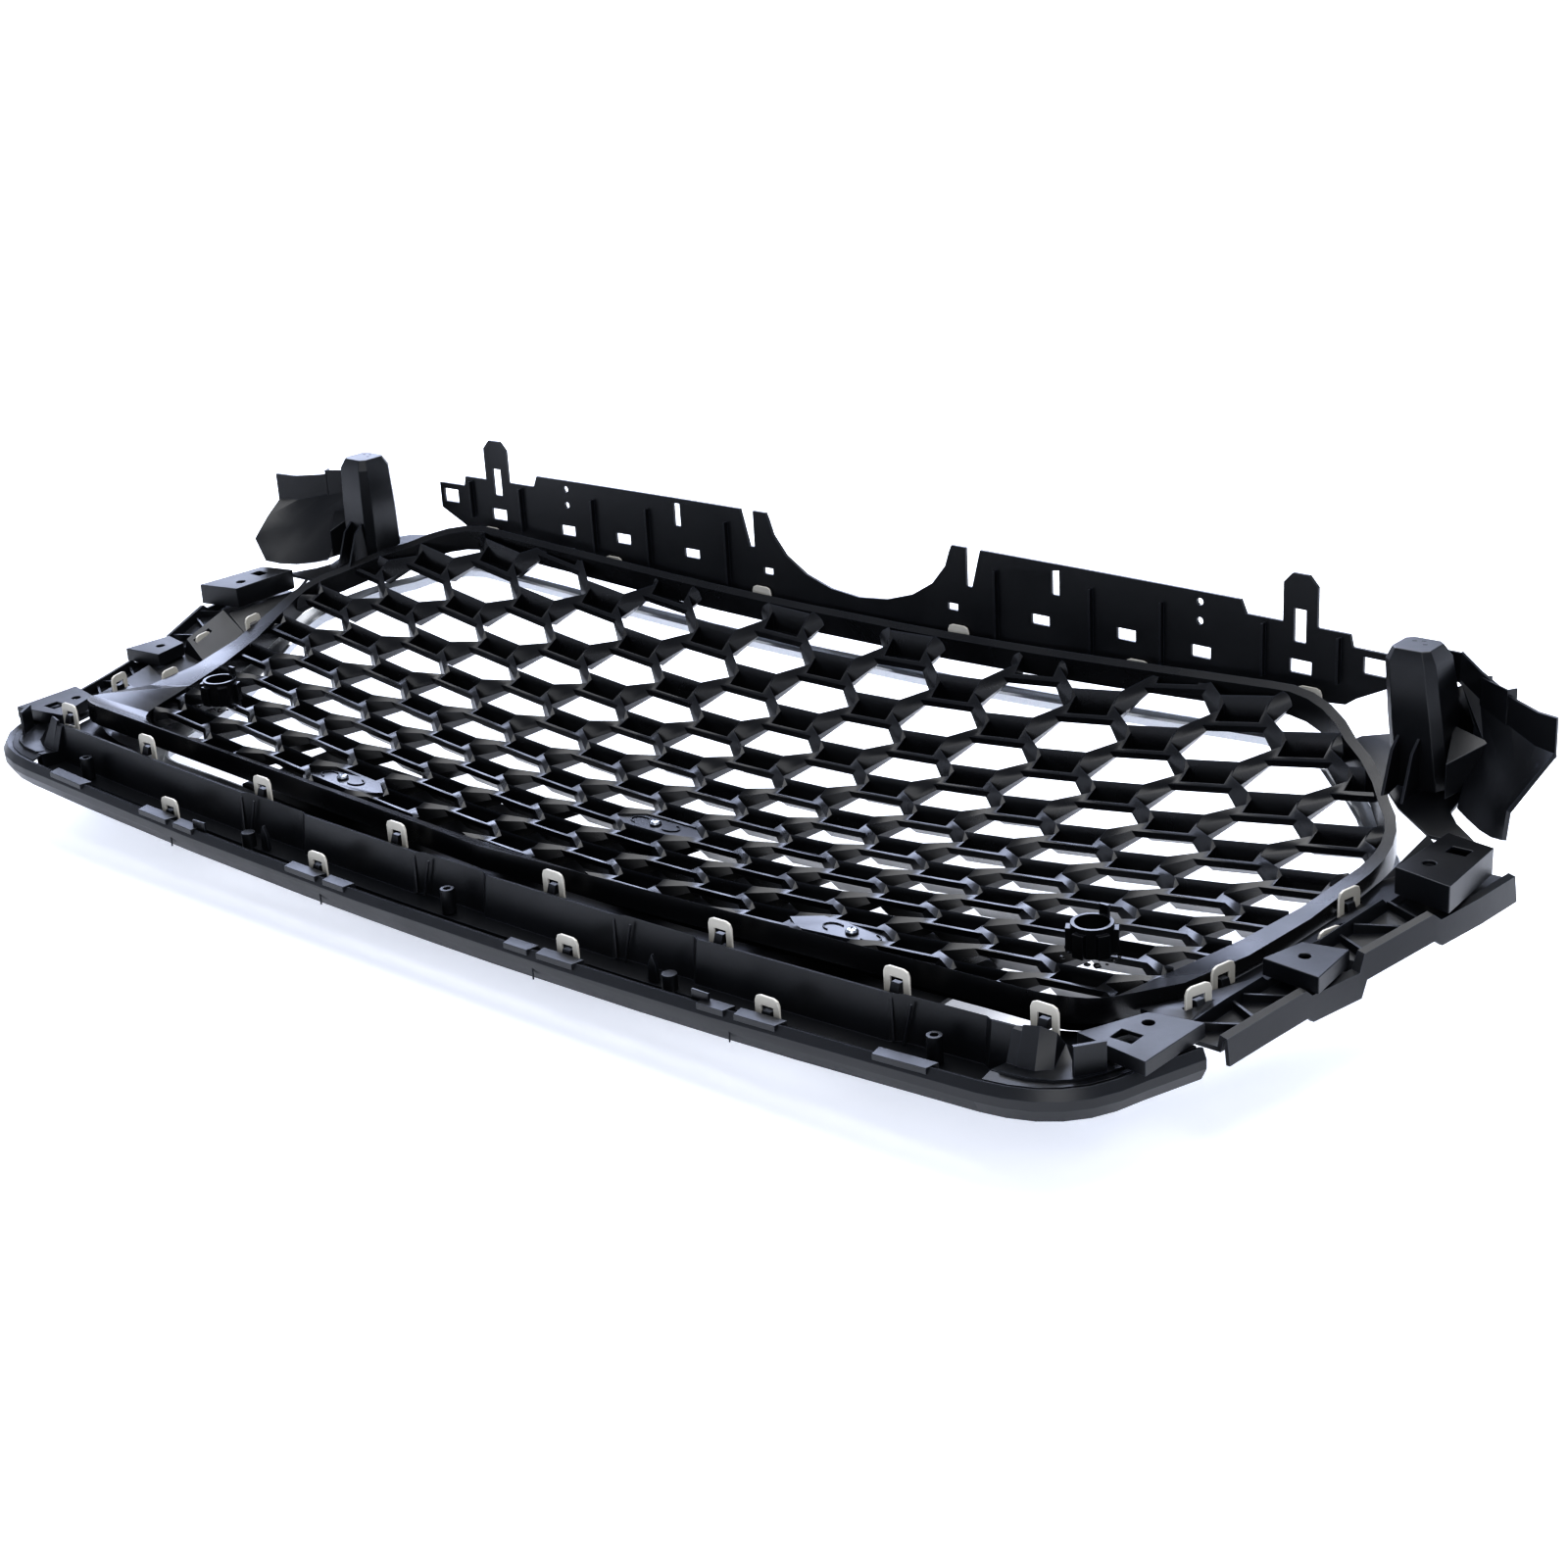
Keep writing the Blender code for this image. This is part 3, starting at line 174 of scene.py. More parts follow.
def rounding(angle):
    """Modifier group: faces that meet at less than an angle in degrees look like one curve."""
    group = bpy.data.node_groups.new("rounding_%d" % angle, "GeometryNodeTree")
    group.interface.new_socket("Geometry", in_out="INPUT", socket_type="NodeSocketGeometry")
    group.interface.new_socket("Geometry", in_out="OUTPUT", socket_type="NodeSocketGeometry")
    bend = node(group, "GeometryNodeInputMeshEdgeAngle")
    sharp = node(group, "FunctionNodeCompare", {"operation": "GREATER_THAN", 1: math.radians(angle)},
                 {0: bend.outputs[0]})
    normals = node(group, "GeometryNodeSetMeshNormal", {"mode": "SHARPNESS", "Remove Custom": True},
                   {0: node(group, "NodeGroupInput").outputs[0], "Edge Sharpness": sharp.outputs[0]})
    node(group, "NodeGroupOutput", links={0: normals.outputs[0]})
    return group


roundings = {}


def soften(piece, width, angle=SOFT_ANGLE):
    """Join the triangles of flat faces, then round the edges of a solid."""
    weld = piece.modifiers.new("weld", "WELD")
    weld.merge_threshold = SAME_POINT
    flat = piece.modifiers.new("flat", "DECIMATE")
    flat.decimate_type = "DISSOLVE"
    flat.angle_limit = math.radians(FLAT_WITHIN)
    if angle not in roundings:
        roundings[angle] = rounding(angle)
    piece.modifiers.new("normals", "NODES").node_group = roundings[angle]
    edge = piece.modifiers.new("edge", "BEVEL")
    edge.width = width
    edge.segments = 2
    edge.limit_method = "ANGLE"
    edge.angle_limit = math.radians(angle)
    edge.harden_normals = True


def dress(name, finish, width, angle=SOFT_ANGLE):
    """Give a solid of the frame its material and soft edges."""
    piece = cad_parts[name]
    for held in piece.material_slots:
        held.material = finish
    soften(piece, width, angle)


def moulded_plastic(name, colour, edge_highlight, roughness, ripple_scale, grain):
    """Moulded plastic: ripple from the flow, spark-eroded grain, and paler edges painted on as a highlight.
    """
    made, tree = new_material(name)
    where = node(tree, "ShaderNodeTexCoord").outputs["Object"]
    ripple = node(tree, "ShaderNodeTexNoise", {"Scale": ripple_scale, "Detail": 3.0}, {"Vector": where})
    # the real grain is 0.1 mm; it is drawn 0.6 mm coarse so that it shows
    fine = node(tree, "ShaderNodeTexNoise", {"Scale": 1600.0, "Detail": 2.0}, {"Vector": where})
    smears = node(tree, "ShaderNodeTexNoise", {"Scale": 9.0, "Detail": 5.0, "Distortion": 1.2},
                  {"Vector": where})
    rounded = node(tree, "ShaderNodeBevel", {"Radius": EDGE_HIGHLIGHT_RADIUS, "samples": 4})
    plain = node(tree, "ShaderNodeNewGeometry")
    turn = node(tree, "ShaderNodeVectorMath", {"operation": "DOT_PRODUCT"},
                {0: rounded.outputs[0], 1: plain.outputs["Normal"]})
    # painted highlight: where the rounded normal turns away from the plain one, at the edges, the colour goes
    # to the paler highlight colour
    edge_highlight_mask = node(tree, "ShaderNodeMapRange",
                  {"From Min": 0.995, "From Max": 0.86, "To Min": 0.0, "To Max": 1.0},
                  {"Value": turn.outputs["Value"]})
    tint = node(tree, "ShaderNodeMix", {"data_type": "RGBA", 6: linear(colour), 7: linear(edge_highlight)},
                {"Factor": edge_highlight_mask.outputs[0]})
    sheen = node(tree, "ShaderNodeMapRange",
                 {"From Min": 0.3, "From Max": 0.7, "To Min": roughness - 0.06, "To Max": roughness + 0.08},
                 {"Value": smears.outputs["Fac"]})
    low = node(tree, "ShaderNodeBump", {"Strength": 0.3, "Distance": 0.0005},
               {"Height": ripple.outputs["Fac"]})
    high = node(tree, "ShaderNodeBump", {"Strength": grain, "Distance": 0.00008},
                {"Height": fine.outputs["Fac"], "Normal": low.outputs[0]})
    shader = node(tree, "ShaderNodeBsdfPrincipled", {"IOR": PLASTIC_IOR},
                  {"Base Color": tint.outputs[2], "Roughness": sheen.outputs[0], "Normal": high.outputs[0]})
    finish_material(tree, shader)
    return made


# glossy ABS reflects the lamps as narrow streaks and is almost black between them
gloss_abs = moulded_plastic("gloss_black_moulded_abs", GLOSS_BLACK, GLOSS_EDGE_HIGHLIGHT, GLOSS_ROUGHNESS, 34.0, 0.08)
dress("honeycomb_insert", gloss_abs, INSERT_EDGE)

# ---------------------------------------------------------------- insert frame
# The insert's own border in the same ABS, moulded with it. Along the bottom it is a wall that
# stands up beside the channel, with a ramp from its foot to the cells.

FRAME_EDGE = 0.0006
FRAME_SOFT_ANGLE = 18
dress("insert_frame", gloss_abs, FRAME_EDGE, FRAME_SOFT_ANGLE)

# ---------------------------------------------------------------- blanking plate and screws
# A closed sheet in satin polypropylene behind the lower cells, pulled up by three zinc-plated
# pan-head screws with cross recesses.

SATIN_BLACK = "#0d0f13"
# bluish grey painted onto the rounded edges of the satin polypropylene as a highlight
SATIN_EDGE_HIGHLIGHT = "#20242c"
SATIN_ROUGHNESS = 0.38
ZINC = "#c4c8ce"
ZINC_CLOUD = "#9ea4ad"
# the two near-blacks of the painted shade inside recesses, slots and seams
RECESS_SHADE = ("#15171a", "#2b2e33")
PLATE_EDGE = 0.0004
SCREW_EDGE = 0.0003
MM = 0.001
RECESS_LENGTH = 3.6
RECESS_WIDTH = 0.9
RECESS_DEPTH = 0.6
RECESS_TURNS = (25, 115)
HEAD_RISE = 2.9
# two arcs on each cap: offset of the middle from the screw, and the angle that the arc starts at
CAP_ARCS = ((-14.0, 60), (14.0, 240))
ARC_RADII = (7.5, 5.0)
ARC_SWEEP = 200
ARC_STEPS = 10
ARC_SECTION = (0.7, 0.9)
ARC_OVERLAP = 0.3


def join_piece(name, bm, finish, width=0.0004):
    """Turn a bmesh in metres into a piece of the visual model, fixed to the grille."""
    mesh = bpy.data.meshes.new(name)
    bmesh.ops.recalc_face_normals(bm, faces=bm.faces)
    bm.to_mesh(mesh)
    bm.free()
    piece = bpy.data.objects.new(name, mesh)
    bpy.context.collection.objects.link(piece)
    mesh.materials.append(finish)
    if width:
        soften(piece, width)
    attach(piece, "root")
    return piece


def block(low, high, turn=0.0, about=(0, 0, 0)):
    """Box between two corners in millimetres, turned about an upright line and moved."""
    bm = bmesh.new()
    bmesh.ops.create_cube(bm, size=1.0)
    size = [b - a for a, b in zip(low, high)]
    middle = [(a + b) / 2 for a, b in zip(low, high)]
    bmesh.ops.scale(bm, vec=size, verts=bm.verts)
    bmesh.ops.translate(bm, vec=middle, verts=bm.verts)
    bmesh.ops.rotate(bm, matrix=Matrix.Rotation(math.radians(turn), 3, "Z"), verts=bm.verts)
    bmesh.ops.scale(bm, vec=(MM, MM, MM), verts=bm.verts)
    bmesh.ops.translate(bm, vec=about, verts=bm.verts)
    return bm


def gathered(bms):
    """One bmesh out of several, which are freed."""
    total = bmesh.new()
    for bm in bms:
        mesh = bpy.data.meshes.new("part")
        bm.to_mesh(mesh)
        bm.free()
        total.from_mesh(mesh)
        bpy.data.meshes.remove(mesh)
    return total


def bar(near, far, width, depth, overlap=0.0):
    """Straight bar between two points in millimetres, width and depth being those of its section."""
    along = Vector(far) - Vector(near)
    bm = bmesh.new()
    bmesh.ops.create_cube(bm, size=1.0)
    bmesh.ops.scale(bm, vec=(width, depth, along.length + overlap), verts=bm.verts)
    bmesh.ops.rotate(bm, matrix=along.to_track_quat("Z", "Y").to_matrix(), verts=bm.verts)
    bmesh.ops.translate(bm, vec=(Vector(near) + Vector(far)) / 2, verts=bm.verts)
    bmesh.ops.scale(bm, vec=(MM, MM, MM), verts=bm.verts)
    return bm


def plated_steel():
    """Zinc plate over steel: bright, with cloudy patches where the bath left it duller."""
    made, tree = new_material("zinc_plated_steel")
    where = node(tree, "ShaderNodeTexCoord").outputs["Object"]
    cloud = node(tree, "ShaderNodeTexNoise", {"Scale": 900.0, "Detail": 3.0}, {"Vector": where})
    tint = node(tree, "ShaderNodeMix", {"data_type": "RGBA", 6: linear(ZINC), 7: linear(ZINC_CLOUD)},
                {"Factor": cloud.outputs["Fac"]})
    rough = node(tree, "ShaderNodeMapRange", {"To Min": 0.16, "To Max": 0.34},
                 {"Value": cloud.outputs["Fac"]})
    shader = node(tree, "ShaderNodeBsdfPrincipled", {"Metallic": 1.0},
                  {"Base Color": tint.outputs[2], "Roughness": rough.outputs[0]})
    finish_material(tree, shader)
    return made


def painted_recess_shade(name):
    """Painted shade for the inside of a recess, slot or seam: dull near-black, blotched a little darker and
    paler.
    """
    made, tree = new_material(name)
    where = node(tree, "ShaderNodeTexCoord").outputs["Object"]
    shade_blotch = node(tree, "ShaderNodeTexNoise", {"Scale": 1200.0}, {"Vector": where})
    tint = node(tree, "ShaderNodeMix", {"data_type": "RGBA", 6: linear(RECESS_SHADE[0]), 7: linear(RECESS_SHADE[1])},
                {"Factor": shade_blotch.outputs["Fac"]})
    shader = node(tree, "ShaderNodeBsdfPrincipled", {"Roughness": 0.6}, {"Base Color": tint.outputs[2]})
    finish_material(tree, shader)
    return made


# satin polypropylene spreads the lamps into a soft bluish sheen
satin_pp = moulded_plastic("satin_black_moulded_polypropylene", SATIN_BLACK, SATIN_EDGE_HIGHLIGHT,
                           SATIN_ROUGHNESS, 55.0, 0.18)
zinc_plate = plated_steel()
# painted shade: a dull near-black fill where a recess, slot or seam lies in shade, so it reads as a dark hole
recess_shade_steel = painted_recess_shade("painted_recess_shade_in_steel")
recess_shade_pp = painted_recess_shade("painted_recess_shade_in_polypropylene")


def cap_arc(head, offset, start):
    """Raised arc on a screw's cap, as short straight ridges."""
    points = []
    for n in range(ARC_STEPS + 1):
        v = math.radians(start + ARC_SWEEP * n / ARC_STEPS)
        points.append((head[0] / MM + offset + ARC_RADII[0] * math.cos(v),
                       head[1] / MM + ARC_RADII[1] * math.sin(v), head[2] / MM - HEAD_RISE))
    return [bar(near, far, *ARC_SECTION, ARC_OVERLAP) for near, far in zip(points, points[1:])]


def cross_recess(head):
    """Dark cross of painted shade set into the top of a screw's head, where its recess lies in shade."""
    low = (-RECESS_LENGTH / 2, -RECESS_WIDTH / 2, -RECESS_DEPTH)
    high = (RECESS_LENGTH / 2, RECESS_WIDTH / 2, 0.02)
    return gathered([block(low, high, turn, head) for turn in RECESS_TURNS])


dress("blanking_plate", satin_pp, PLATE_EDGE)
for side in ("left", "middle", "right"):
    dress("screw_" + side, zinc_plate, SCREW_EDGE)
    low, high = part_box("screw_" + side)
    head = ((low[0] + high[0]) / 2, (low[1] + high[1]) / 2, high[2])
    join_piece("screw_recess_" + side, cross_recess(head), recess_shade_steel, 0)
    arcs = [ridge for offset, start in CAP_ARCS for ridge in cap_arc(head, offset, start)]
    join_piece("cap_arcs_" + side, gathered(arcs), satin_pp, 0)

# ---------------------------------------------------------------- sensor holders
# Sleeves with spring fingers for parking sensors, welded into the honeycomb: the melted ABS
# stands round each foot as a rough, knobbly patch.

HOLDER_EDGE = 0.0004
WELD_LUMPS = 16
WELD_GAPS = (3, 4)       # of every eight lumps, the ones that didn't form
WELD_REACH = 14.5
WELD_LUMP = 1.3
WELD_STRETCH = (1.5, 1.2, 0.8)
WELD_DROP = 0.0022


def weld_patch(centre, foot):
    """Broken ring of melted lumps round the foot of a sleeve, each of its own size."""
    lumps = []
    for k in range(WELD_LUMPS):
        if k % 8 in WELD_GAPS:
            continue
        angle = math.tau * k / WELD_LUMPS
        reach = WELD_REACH + 2.5 * math.sin(2.7 * k)
        size = WELD_LUMP + 0.6 * math.sin(4.1 * k)
        bm = bmesh.new()
        bmesh.ops.create_icosphere(bm, subdivisions=2, radius=1.0)
        for v in bm.verts:
            v.co *= 1.0 + 0.2 * math.sin(5 * v.co.x + 3 * k) * math.cos(4 * v.co.y)
        bmesh.ops.scale(bm, vec=[size * share for share in WELD_STRETCH], verts=bm.verts)
        place = (reach * math.cos(angle), reach * math.sin(angle), 0.0)
        bmesh.ops.translate(bm, vec=place, verts=bm.verts)
        bmesh.ops.scale(bm, vec=(MM, MM, MM), verts=bm.verts)
        bmesh.ops.translate(bm, vec=(centre[0], centre[1], foot), verts=bm.verts)
        lumps.append(bm)
    return gathered(lumps)


for side in ("left", "right"):
    dress("sensor_holder_" + side, gloss_abs, HOLDER_EDGE)
    low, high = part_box("sensor_holder_" + side)
    middle = ((low[0] + high[0]) / 2, (low[1] + high[1]) / 2)
    lumps = weld_patch(middle, low[2] - WELD_DROP)
    patch = join_piece("weld_patch_" + side, lumps, gloss_abs, 0)
    patch.data.shade_smooth()

# ---------------------------------------------------------------- surround with its loops
# A silver-painted ABS ring that shows on the car's face. Its snap loops come through the carrier
# as bare warm-grey plastic, and a black hook of the carrier is sprung into every window.

SILVER = "#b8babd"
SILVER_FLAKE = "#a3a6ab"
WARM_GREY = "#b9b6ad"
# paler grey painted onto the rounded rims as a highlight
WARM_GREY_EDGE_HIGHLIGHT = "#d2cfc8"
GREY_ROUGHNESS = 0.42
SURROUND_EDGE = 0.0005
LOOP_EDGE = 0.00035
HOOK_WIDTH = 6.0
HOOK_DEPTH = (-4.0, 2.0)
HOOK_DROP = (14.5, 8.6)
HOOK_CHAMFER = 2.2
HOOK_EDGE = 0.0004
SIDE_LOOP_TURN = 75.0


def silver_paint():
    """Silver basecoat under clear lacquer: fine flakes and a smooth gloss."""
    made, tree = new_material("silver_painted_abs")
    where = node(tree, "ShaderNodeTexCoord").outputs["Object"]
    # flakes are about 0.05 mm; they are drawn 0.7 mm wide so that they show
    flakes = node(tree, "ShaderNodeTexVoronoi", {"Scale": 1400.0}, {"Vector": where})
    tint = node(tree, "ShaderNodeMix", {"data_type": "RGBA", 6: linear(SILVER), 7: linear(SILVER_FLAKE)},
                {"Factor": flakes.outputs["Distance"]})
    rough = node(tree, "ShaderNodeMapRange", {"To Min": 0.28, "To Max": 0.4},
                 {"Value": flakes.outputs["Distance"]})
    shader = node(tree, "ShaderNodeBsdfPrincipled",
                  {"Metallic": 0.6, "Coat Weight": 0.6, "Coat Roughness": 0.08},
                  {"Base Color": tint.outputs[2], "Roughness": rough.outputs[0]})
    finish_material(tree, shader)
    return made


def hook(centre, top, turn):
    """Sprung hook: a chamfered nose under the window's upper edge."""
    low, high = (top / MM - d for d in HOOK_DROP)
    nose = block((-HOOK_WIDTH / 2, HOOK_DEPTH[0], low), (HOOK_WIDTH / 2, HOOK_DEPTH[1], high))
    for v in nose.verts:
        if v.co.y < 0 and v.co.z > (low + high) / 2 * MM:
            v.co.y += HOOK_CHAMFER * MM
    bmesh.ops.rotate(nose, matrix=Matrix.Rotation(math.radians(turn), 3, "Z"), verts=nose.verts)
    bmesh.ops.translate(nose, vec=(centre[0], centre[1], 0), verts=nose.verts)
    return nose


# lacquer over metal flakes gives the hidden face a bright, even grey
silver = silver_paint()
# bare grained ABS is matt, and its rims are painted a little paler as a highlight
grey_abs = moulded_plastic("warm_grey_moulded_abs", WARM_GREY, WARM_GREY_EDGE_HIGHLIGHT, GREY_ROUGHNESS, 140.0, 0.14)
dress("trim_surround", silver, SURROUND_EDGE)
for name in sorted(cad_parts):
    if "loop" not in name and not name.startswith("top_tab"):
        continue
    dress(name, grey_abs, LOOP_EDGE)
    if name.startswith("top_tab"):
        continue
    low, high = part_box(name)
    middle = ((low[0] + high[0]) / 2, (low[1] + high[1]) / 2)
    turn = 0.0
    if name.startswith("side_loop"):
        turn = math.copysign(SIDE_LOOP_TURN, middle[0])
    join_piece("hook_" + name, hook(middle, high[2], turn), satin_pp, HOOK_EDGE)

# ---------------------------------------------------------------- bottom channel and lip
# The carrier's lower edge in satin polypropylene: a stepped wall, a floor with screw bosses and
# locating blades, and an outer lip with clip ledges moulded along its top.

CARRIER_EDGE = 0.0006
SMALL_EDGE = 0.0003
CELL_PITCH = 57.0
CHANNEL_BOW = 0.0036
LIP_BOW = 0.0045
LIP_BELOW_BOSS = 10.5
OUTER_LOOPS = (115.0, 272.0)
# two ledges for each outer loop: shift from the loop along X and half length
LOOP_LEDGES = ((2.0, 17.0), (-31.0, 12.0))
END_LEDGE = (375.0, 20.0)
LEDGE_INSET = 0.4
LEDGE_DEPTH = 9.0
LEDGE_HEIGHTS = (-2.4, 1.4)
LEDGE_CHAMFER = 2.0
SEAM_SHIFT = -17.0
SEAM_HALF = 0.25
SEAM_DROP = (17.0, 5.5)
TAB_X = 229.0
TAB_SIZE = (13.0, 1.6, 11.0)
TAB_INSET = 6.0
TAB_FOOT = 5.0
STOP_X = 193.0
STOP_RADIUS = 4.8
STOP_LENGTH = 12.0
STOP_INSET = 19.5
WALL_GROOVES = (-211.0, -36.0, 141.0, 350.0)
WALL_FACE = -185.2
WALL_SLOPE = 3.6
MOULDING = 1.7
MOULDING_SPREAD = (7.0, 3.5)     # from a groove's middle, at the wall's top and foot
MOULDING_HEIGHTS = (7.4, -16.5)

for name in ("channel_wall", "lower_lip"):
    dress(name, satin_pp, CARRIER_EDGE)
for name in ("boss_left", "boss_middle", "boss_right", "locating_pin_left", "locating_pin_right"):
    dress(name, satin_pp, SMALL_EDGE)

LIP_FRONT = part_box("lower_lip")[0][1] / MM
BOSS_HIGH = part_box("boss_middle")[1][2] / MM


def rise(x, bow):
    """How far a line of the channel has risen at X in millimetres, as it bows up at its ends."""
    return CELL_PITCH * bow * (x / CELL_PITCH) ** 2


def lip_top(x):
    """Height of the lip's top edge at X, both in millimetres."""
    return BOSS_HIGH - LIP_BELOW_BOSS + rise(x, LIP_BOW)


def ledge(x, half):
    """Overhanging shelf along the lip's top, with chamfered ends and following its slope."""
    front = LIP_FRONT + LEDGE_INSET
    bm = block((-half, front, LEDGE_HEIGHTS[0]), (half, front + LEDGE_DEPTH, LEDGE_HEIGHTS[1]))
    for v in bm.verts:
        if v.co.y < (front + 1.0) * MM:
            v.co.x -= math.copysign(LEDGE_CHAMFER * MM, v.co.x)
        v.co.z += lip_top(x + v.co.x / MM) * MM
        v.co.x += x * MM
    return bm


def seam(x):
    """Fine upright joint line in the lip's outer face, drawn as a dark strip of painted shade."""
    return block((x - SEAM_HALF, LIP_FRONT + 0.02, lip_top(x) - SEAM_DROP[0]),
                 (x + SEAM_HALF, LIP_FRONT + 1.0, lip_top(x) - SEAM_DROP[1]))


def tab(x):
    """Small upright tab behind the lip."""
    width, skin, height = TAB_SIZE
    low = lip_top(x) - TAB_FOOT
    return block((x - width / 2, LIP_FRONT + TAB_INSET, low),
                 (x + width / 2, LIP_FRONT + TAB_INSET + skin, low + height))


def stop(x, foot):
    """Round stop on the channel's floor."""
    bm = bmesh.new()
    bmesh.ops.create_cone(bm, cap_ends=True, segments=20, radius1=STOP_RADIUS * MM,
                          radius2=STOP_RADIUS * MM, depth=STOP_LENGTH * MM)
    place = (x * MM, (LIP_FRONT + STOP_INSET) * MM, foot * MM)
    bmesh.ops.translate(bm, vec=place, verts=bm.verts)
    return bm


def moulding(x, side):
    """Rounded ridge on one side of a groove, from the wall's top down to the floor."""
    high, low = (BOSS_HIGH + h + rise(x, CHANNEL_BOW) for h in MOULDING_HEIGHTS)
    top_x, foot_x = (x + side * spread for spread in MOULDING_SPREAD)
    return bar((top_x, WALL_FACE, high), (foot_x, WALL_FACE - WALL_SLOPE, low), MOULDING, MOULDING)


ledges = []
seams = []
tabs = []
for side in (1, -1):
    for loop_x in OUTER_LOOPS:
        ledges += [ledge(side * (loop_x + shift), half) for shift, half in LOOP_LEDGES]
        seams.append(seam(side * (loop_x + SEAM_SHIFT)))
    ledges.append(ledge(side * END_LEDGE[0], END_LEDGE[1]))
    tabs.append(tab(side * TAB_X))
    tabs.append(stop(side * STOP_X, lip_top(TAB_X) - TAB_FOOT + 1.0))
join_piece("lip_ledges", gathered(ledges), satin_pp, SMALL_EDGE)
join_piece("lip_seams", gathered(seams), recess_shade_pp, 0)
join_piece("channel_tabs", gathered(tabs), satin_pp, SMALL_EDGE)
mouldings = [moulding(x, side) for x in WALL_GROOVES for side in (-1, 1)]
join_piece("wall_mouldings", gathered(mouldings), satin_pp, CARRIER_EDGE)

# ---------------------------------------------------------------- sides, brackets and columns
# The rest of the same carrier: a flange round each corner, brackets with fastener holes, ribbed
# rails, and a hollow post on a sloping base beside each wing.

CURVED_SOFT_ANGLE = 34
CURVED = ("wing", "corner_flange")
BOSS_MIDDLE_Y = -252.0
BOSS_MIDDLE_TOP = 21.5
BOSS_RADIUS = 4.6
WEB_SKIN = 0.002
SHELF_SKIN = 0.0014
SHELF_EDGE = 0.0002
GUSSET_EDGE = 0.0005
# the points of the webs and shelves are in millimetres, from the middle of the honeycomb's lowest
# row, and SHIFT_Y and SHIFT_Z carry them to the frame
SHIFT_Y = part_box("boss_middle")[0][1] / MM + BOSS_RADIUS - BOSS_MIDDLE_Y
SHIFT_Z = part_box("boss_middle")[1][2] / MM - BOSS_MIDDLE_TOP
COLUMN_SIDE = ((487.0, 121.0, 131.0), (489.5, 119.0, 112.0), (493.0, 115.0, 92.0), (496.0, 110.0, 77.0))
WING_EDGE = ((489.0, 129.0, 131.0), (504.0, 116.0, 112.0), (509.0, 100.0, 92.0), (510.0, 87.0, 72.0))
RIM_TAIL = ((476.0, 129.0, 135.0), (488.0, 129.6, 131.5), (488.0, 129.6, 150.5), (476.0, 129.0, 151.0))
LIP_EDGE = ((424.0, -269.0), (440.0, -267.8), (455.0, -264.0), (466.0, -257.5), (476.0, -248.0),
            (483.0, -236.0), (488.5, -220.0), (495.0, -203.0), (500.5, -186.0))
LIP_EDGE_DROP = 0.9
FLANGE_EDGE = ((424.0, -261.5, 26.0), (436.0, -261.0, 26.0), (448.0, -259.7, 26.5), (459.5, -255.0, 27.0),
               (469.0, -247.0, 27.5), (476.0, -236.0, 27.5), (482.5, -217.0, 27.0), (488.0, -196.0, 26.5),
               (491.0, -178.0, 25.5))
FLOOR_OUTER = ((280.0, -226.0), (340.0, -226.0), (400.0, -226.0), (428.0, -234.0), (448.0, -224.0),
               (456.0, -204.0), (462.0, -180.0))
FLOOR_INNER = ((280.0, -220.0), (340.0, -216.0), (400.0, -210.0), (420.0, -206.0), (436.0, -200.0),
               (446.0, -190.0), (452.0, -176.0))
FLOOR_LEVEL = 13.6
END_X = (424.0, 431.0)
END_PROFILE = ((-261.0, 15.0), (-242.0, 15.0), (-235.5, 40.5), (-238.6, 43.0), (-241.0, 42.0),
               (-247.5, 25.0), (-261.0, 27.0))
# ribs in front of a column: outline as distance behind its front and height over its foot, in metres
RIB_SHIFTS = (-0.009, 0.004)
RIB_OUTLINE = ((0.006, -0.002), (-0.017, -0.006), (-0.006, 0.022), (0.008, 0.034))
COLUMN_FOOT_RISE = 0.004
# gusset beside it: outward from its outer face, behind its middle and over its foot, in metres
GUSSET = ((-0.006, 0.004, 0.022), (0.021, -0.004, 0.019), (0.004, -0.025, 0.008))
GUSSET_DEPTH = 0.022
HEAD_SLOTS = ((-4.5, 3.5), (0.5, 5.5), (4.0, 0.0))
HEAD_MIDDLE = (-0.0055, -0.0035)
SLOT_HALF = (1.3, 0.9)
SLOT_TURN = 20.0
# three walls of the lug behind a wing, each between two corners in millimetres
LUG_WALLS = (((-13.0, -3.0, -13.0), (13.0, -1.6, 12.0)), ((-13.0, -3.0, -13.0), (-11.6, 4.0, 12.0)),
             ((11.6, -3.0, -13.0), (13.0, 4.0, 12.0)))
LUG_TURN = -30.0
LUG_FROM_WING = (0.030, 0.0145, 0.022)

for name in ("corner_flange", "corner_bracket", "lower_bracket", "upper_bracket", "side_rail",
             "column", "column_base", "wing"):
    for side in ("left", "right"):
        dress(name + "_" + side, satin_pp, CARRIER_EDGE, CURVED_SOFT_ANGLE if name in CURVED else SOFT_ANGLE)


def carried(s, x, y, z):
    """Point of the right side (s = 1) or its mirror on the left, from millimetres to the frame."""
    return (s * x / 1000, (y + SHIFT_Y) / 1000, (z + SHIFT_Z) / 1000)


def side_wall(bm, near, far):
    """Close a bmesh between two like rings of points, and cap both ends."""
    bm.faces.new(near)
    bm.faces.new(list(reversed(far)))
    for k in range(len(near)):
        n = (k + 1) % len(near)
        bm.faces.new((near[n], near[k], far[k], far[n]))
    return bm


def plate_between(points, thickness, lean):
    """Plate through points in metres, thickened along a direction."""
    bm = bmesh.new()
    step = Vector(lean) * thickness / 2
    near, far = ([bm.verts.new(Vector(p) + way * step) for p in points] for way in (-1, 1))
    return side_wall(bm, near, far)


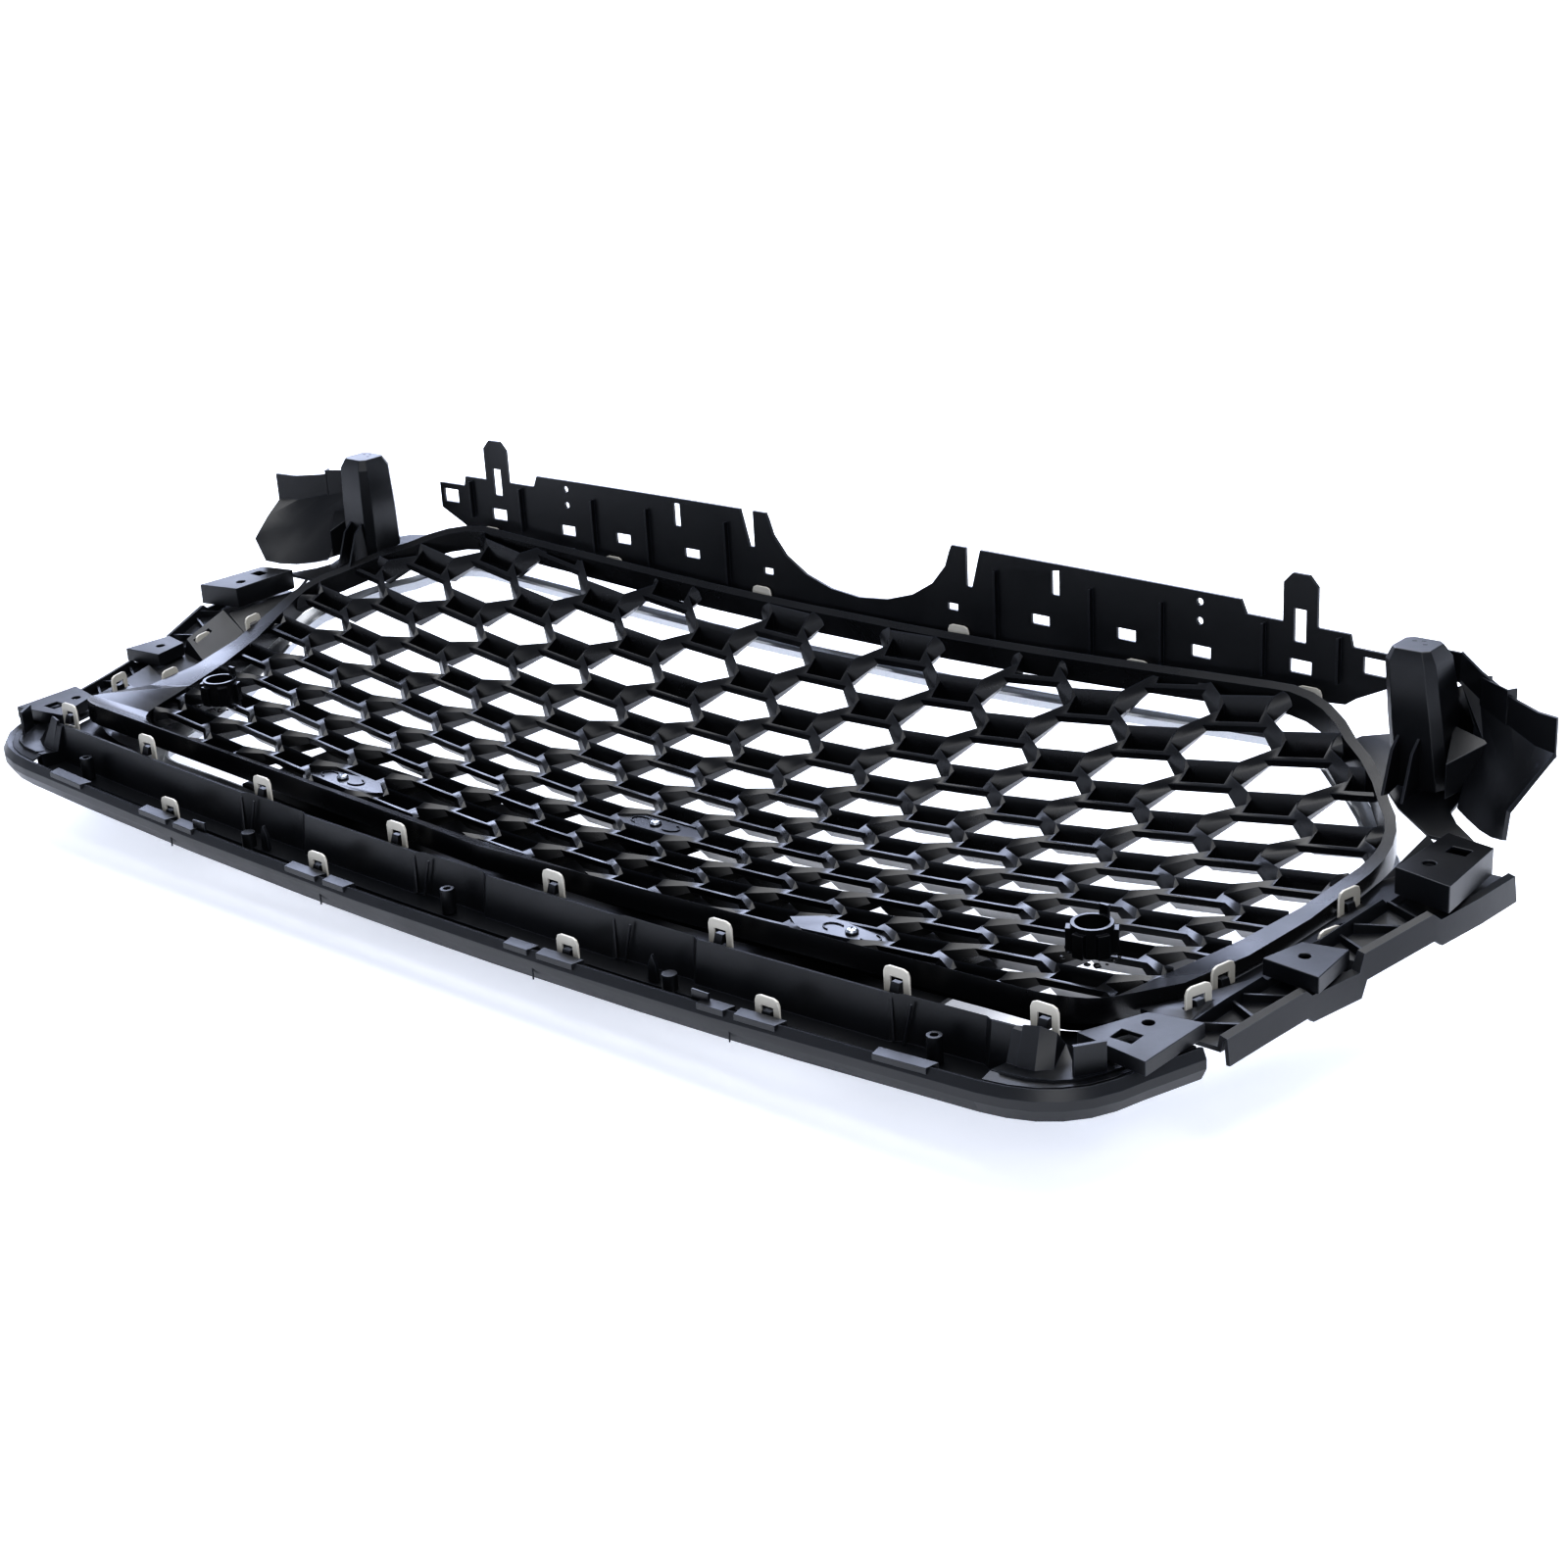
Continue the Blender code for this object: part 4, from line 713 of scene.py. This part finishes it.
def end_web(s):
    """Wall that closes the end of the channel against the corner."""
    bm = bmesh.new()
    near, far = ([bm.verts.new(carried(s, x, y, z)) for y, z in END_PROFILE] for x in END_X)
    return side_wall(bm, near, far)


def strips(rows_a, rows_b, skin, lean):
    """Plates that fill the band between two rows of points."""
    return [plate_between((rows_a[k], rows_a[k + 1], rows_b[k + 1], rows_b[k]), skin, lean)
            for k in range(len(rows_a) - 1)]


def column_ribs(s, mid_x, front, foot):
    """Upright ribs that run out from a column's front towards the honeycomb."""
    return gathered([plate_between([(mid_x + s * shift, front + back, foot + up) for back, up in RIB_OUTLINE],
                                   WEB_SKIN, (1, 0, 0)) for shift in RIB_SHIFTS])


def column_web(s):
    """Web from a column to the wing's edge, and the end of the wing's rim behind the column."""
    column = [carried(s, *p) for p in COLUMN_SIDE]
    wing = [carried(s, *p) for p in WING_EDGE]
    web = [plate_between((column[k], wing[k], wing[k + 1], column[k + 1]), WEB_SKIN, (0, 1, 0))
           for k in range(len(column) - 1)]
    web.append(plate_between([carried(s, *p) for p in RIM_TAIL], WEB_SKIN, (0, 1, 0)))
    return gathered(web)


def corner_shelf(s):
    """Fillers at a corner: lip to flange, the channel's end, and its floor beside the frame."""
    lip = [carried(s, x, y, lip_top(x) - SHIFT_Z - LIP_EDGE_DROP) for x, y in LIP_EDGE]
    flange = [carried(s, *p) for p in FLANGE_EDGE]
    outer, inner = ([carried(s, x, y, FLOOR_LEVEL + rise(x, CHANNEL_BOW)) for x, y in row]
                    for row in (FLOOR_OUTER, FLOOR_INNER))
    upward = (0, 0, 1)
    return gathered(strips(lip, flange, SHELF_SKIN, upward) + [end_web(s)]
                    + strips(outer, inner, SHELF_SKIN, upward))


for side, s in (("left", -1), ("right", 1)):
    low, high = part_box("column_" + side)
    outer = high[0] if s > 0 else low[0]
    foot = low[2] + COLUMN_FOOT_RISE
    mid_x = (low[0] + high[0]) / 2
    mid_y = (low[1] + high[1]) / 2
    ribs = column_ribs(s, mid_x, low[1], foot)
    join_piece("column_ribs_" + side, ribs, satin_pp, SMALL_EDGE)
    corners = [(outer + s * out, mid_y + back, foot + up) for out, back, up in GUSSET]
    gusset = plate_between(corners, GUSSET_DEPTH, (0, 0, 1))
    join_piece("column_gusset_" + side, gusset, satin_pp, GUSSET_EDGE)
    half_x, half_y = SLOT_HALF
    # the column head's slots are dark blocks of painted shade laid on its top
    slots = [block((-half_x, -half_y, -1.0), (half_x, half_y, 0.03), SLOT_TURN * s,
                   (mid_x + s * HEAD_MIDDLE[0] + dx / 1000, mid_y + HEAD_MIDDLE[1] + dy / 1000, high[2]))
             for dx, dy in HEAD_SLOTS]
    join_piece("column_slots_" + side, gathered(slots), recess_shade_pp, 0)
    join_piece("column_web_" + side, column_web(s), satin_pp, SMALL_EDGE)
    join_piece("corner_shelf_" + side, corner_shelf(s), satin_pp, SHELF_EDGE)
    low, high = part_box("wing_" + side)
    lug_x = low[0] + LUG_FROM_WING[0] if s > 0 else high[0] - LUG_FROM_WING[0]
    about = (lug_x, high[1] - LUG_FROM_WING[1], high[2] - LUG_FROM_WING[2])
    lug = gathered([block(a, b, LUG_TURN * s, about) for a, b in LUG_WALLS])
    join_piece("wing_lug_" + side, lug, satin_pp, SMALL_EDGE)

# ---------------------------------------------------------------- upright panel
# The carrier's top edge: a thin upright sheet with stiffening ribs, clip windows, slotted
# fingers and a round notch for the back of the badge.

PANEL_EDGE = 0.0005
dress("top_panel", satin_pp, PANEL_EDGE)
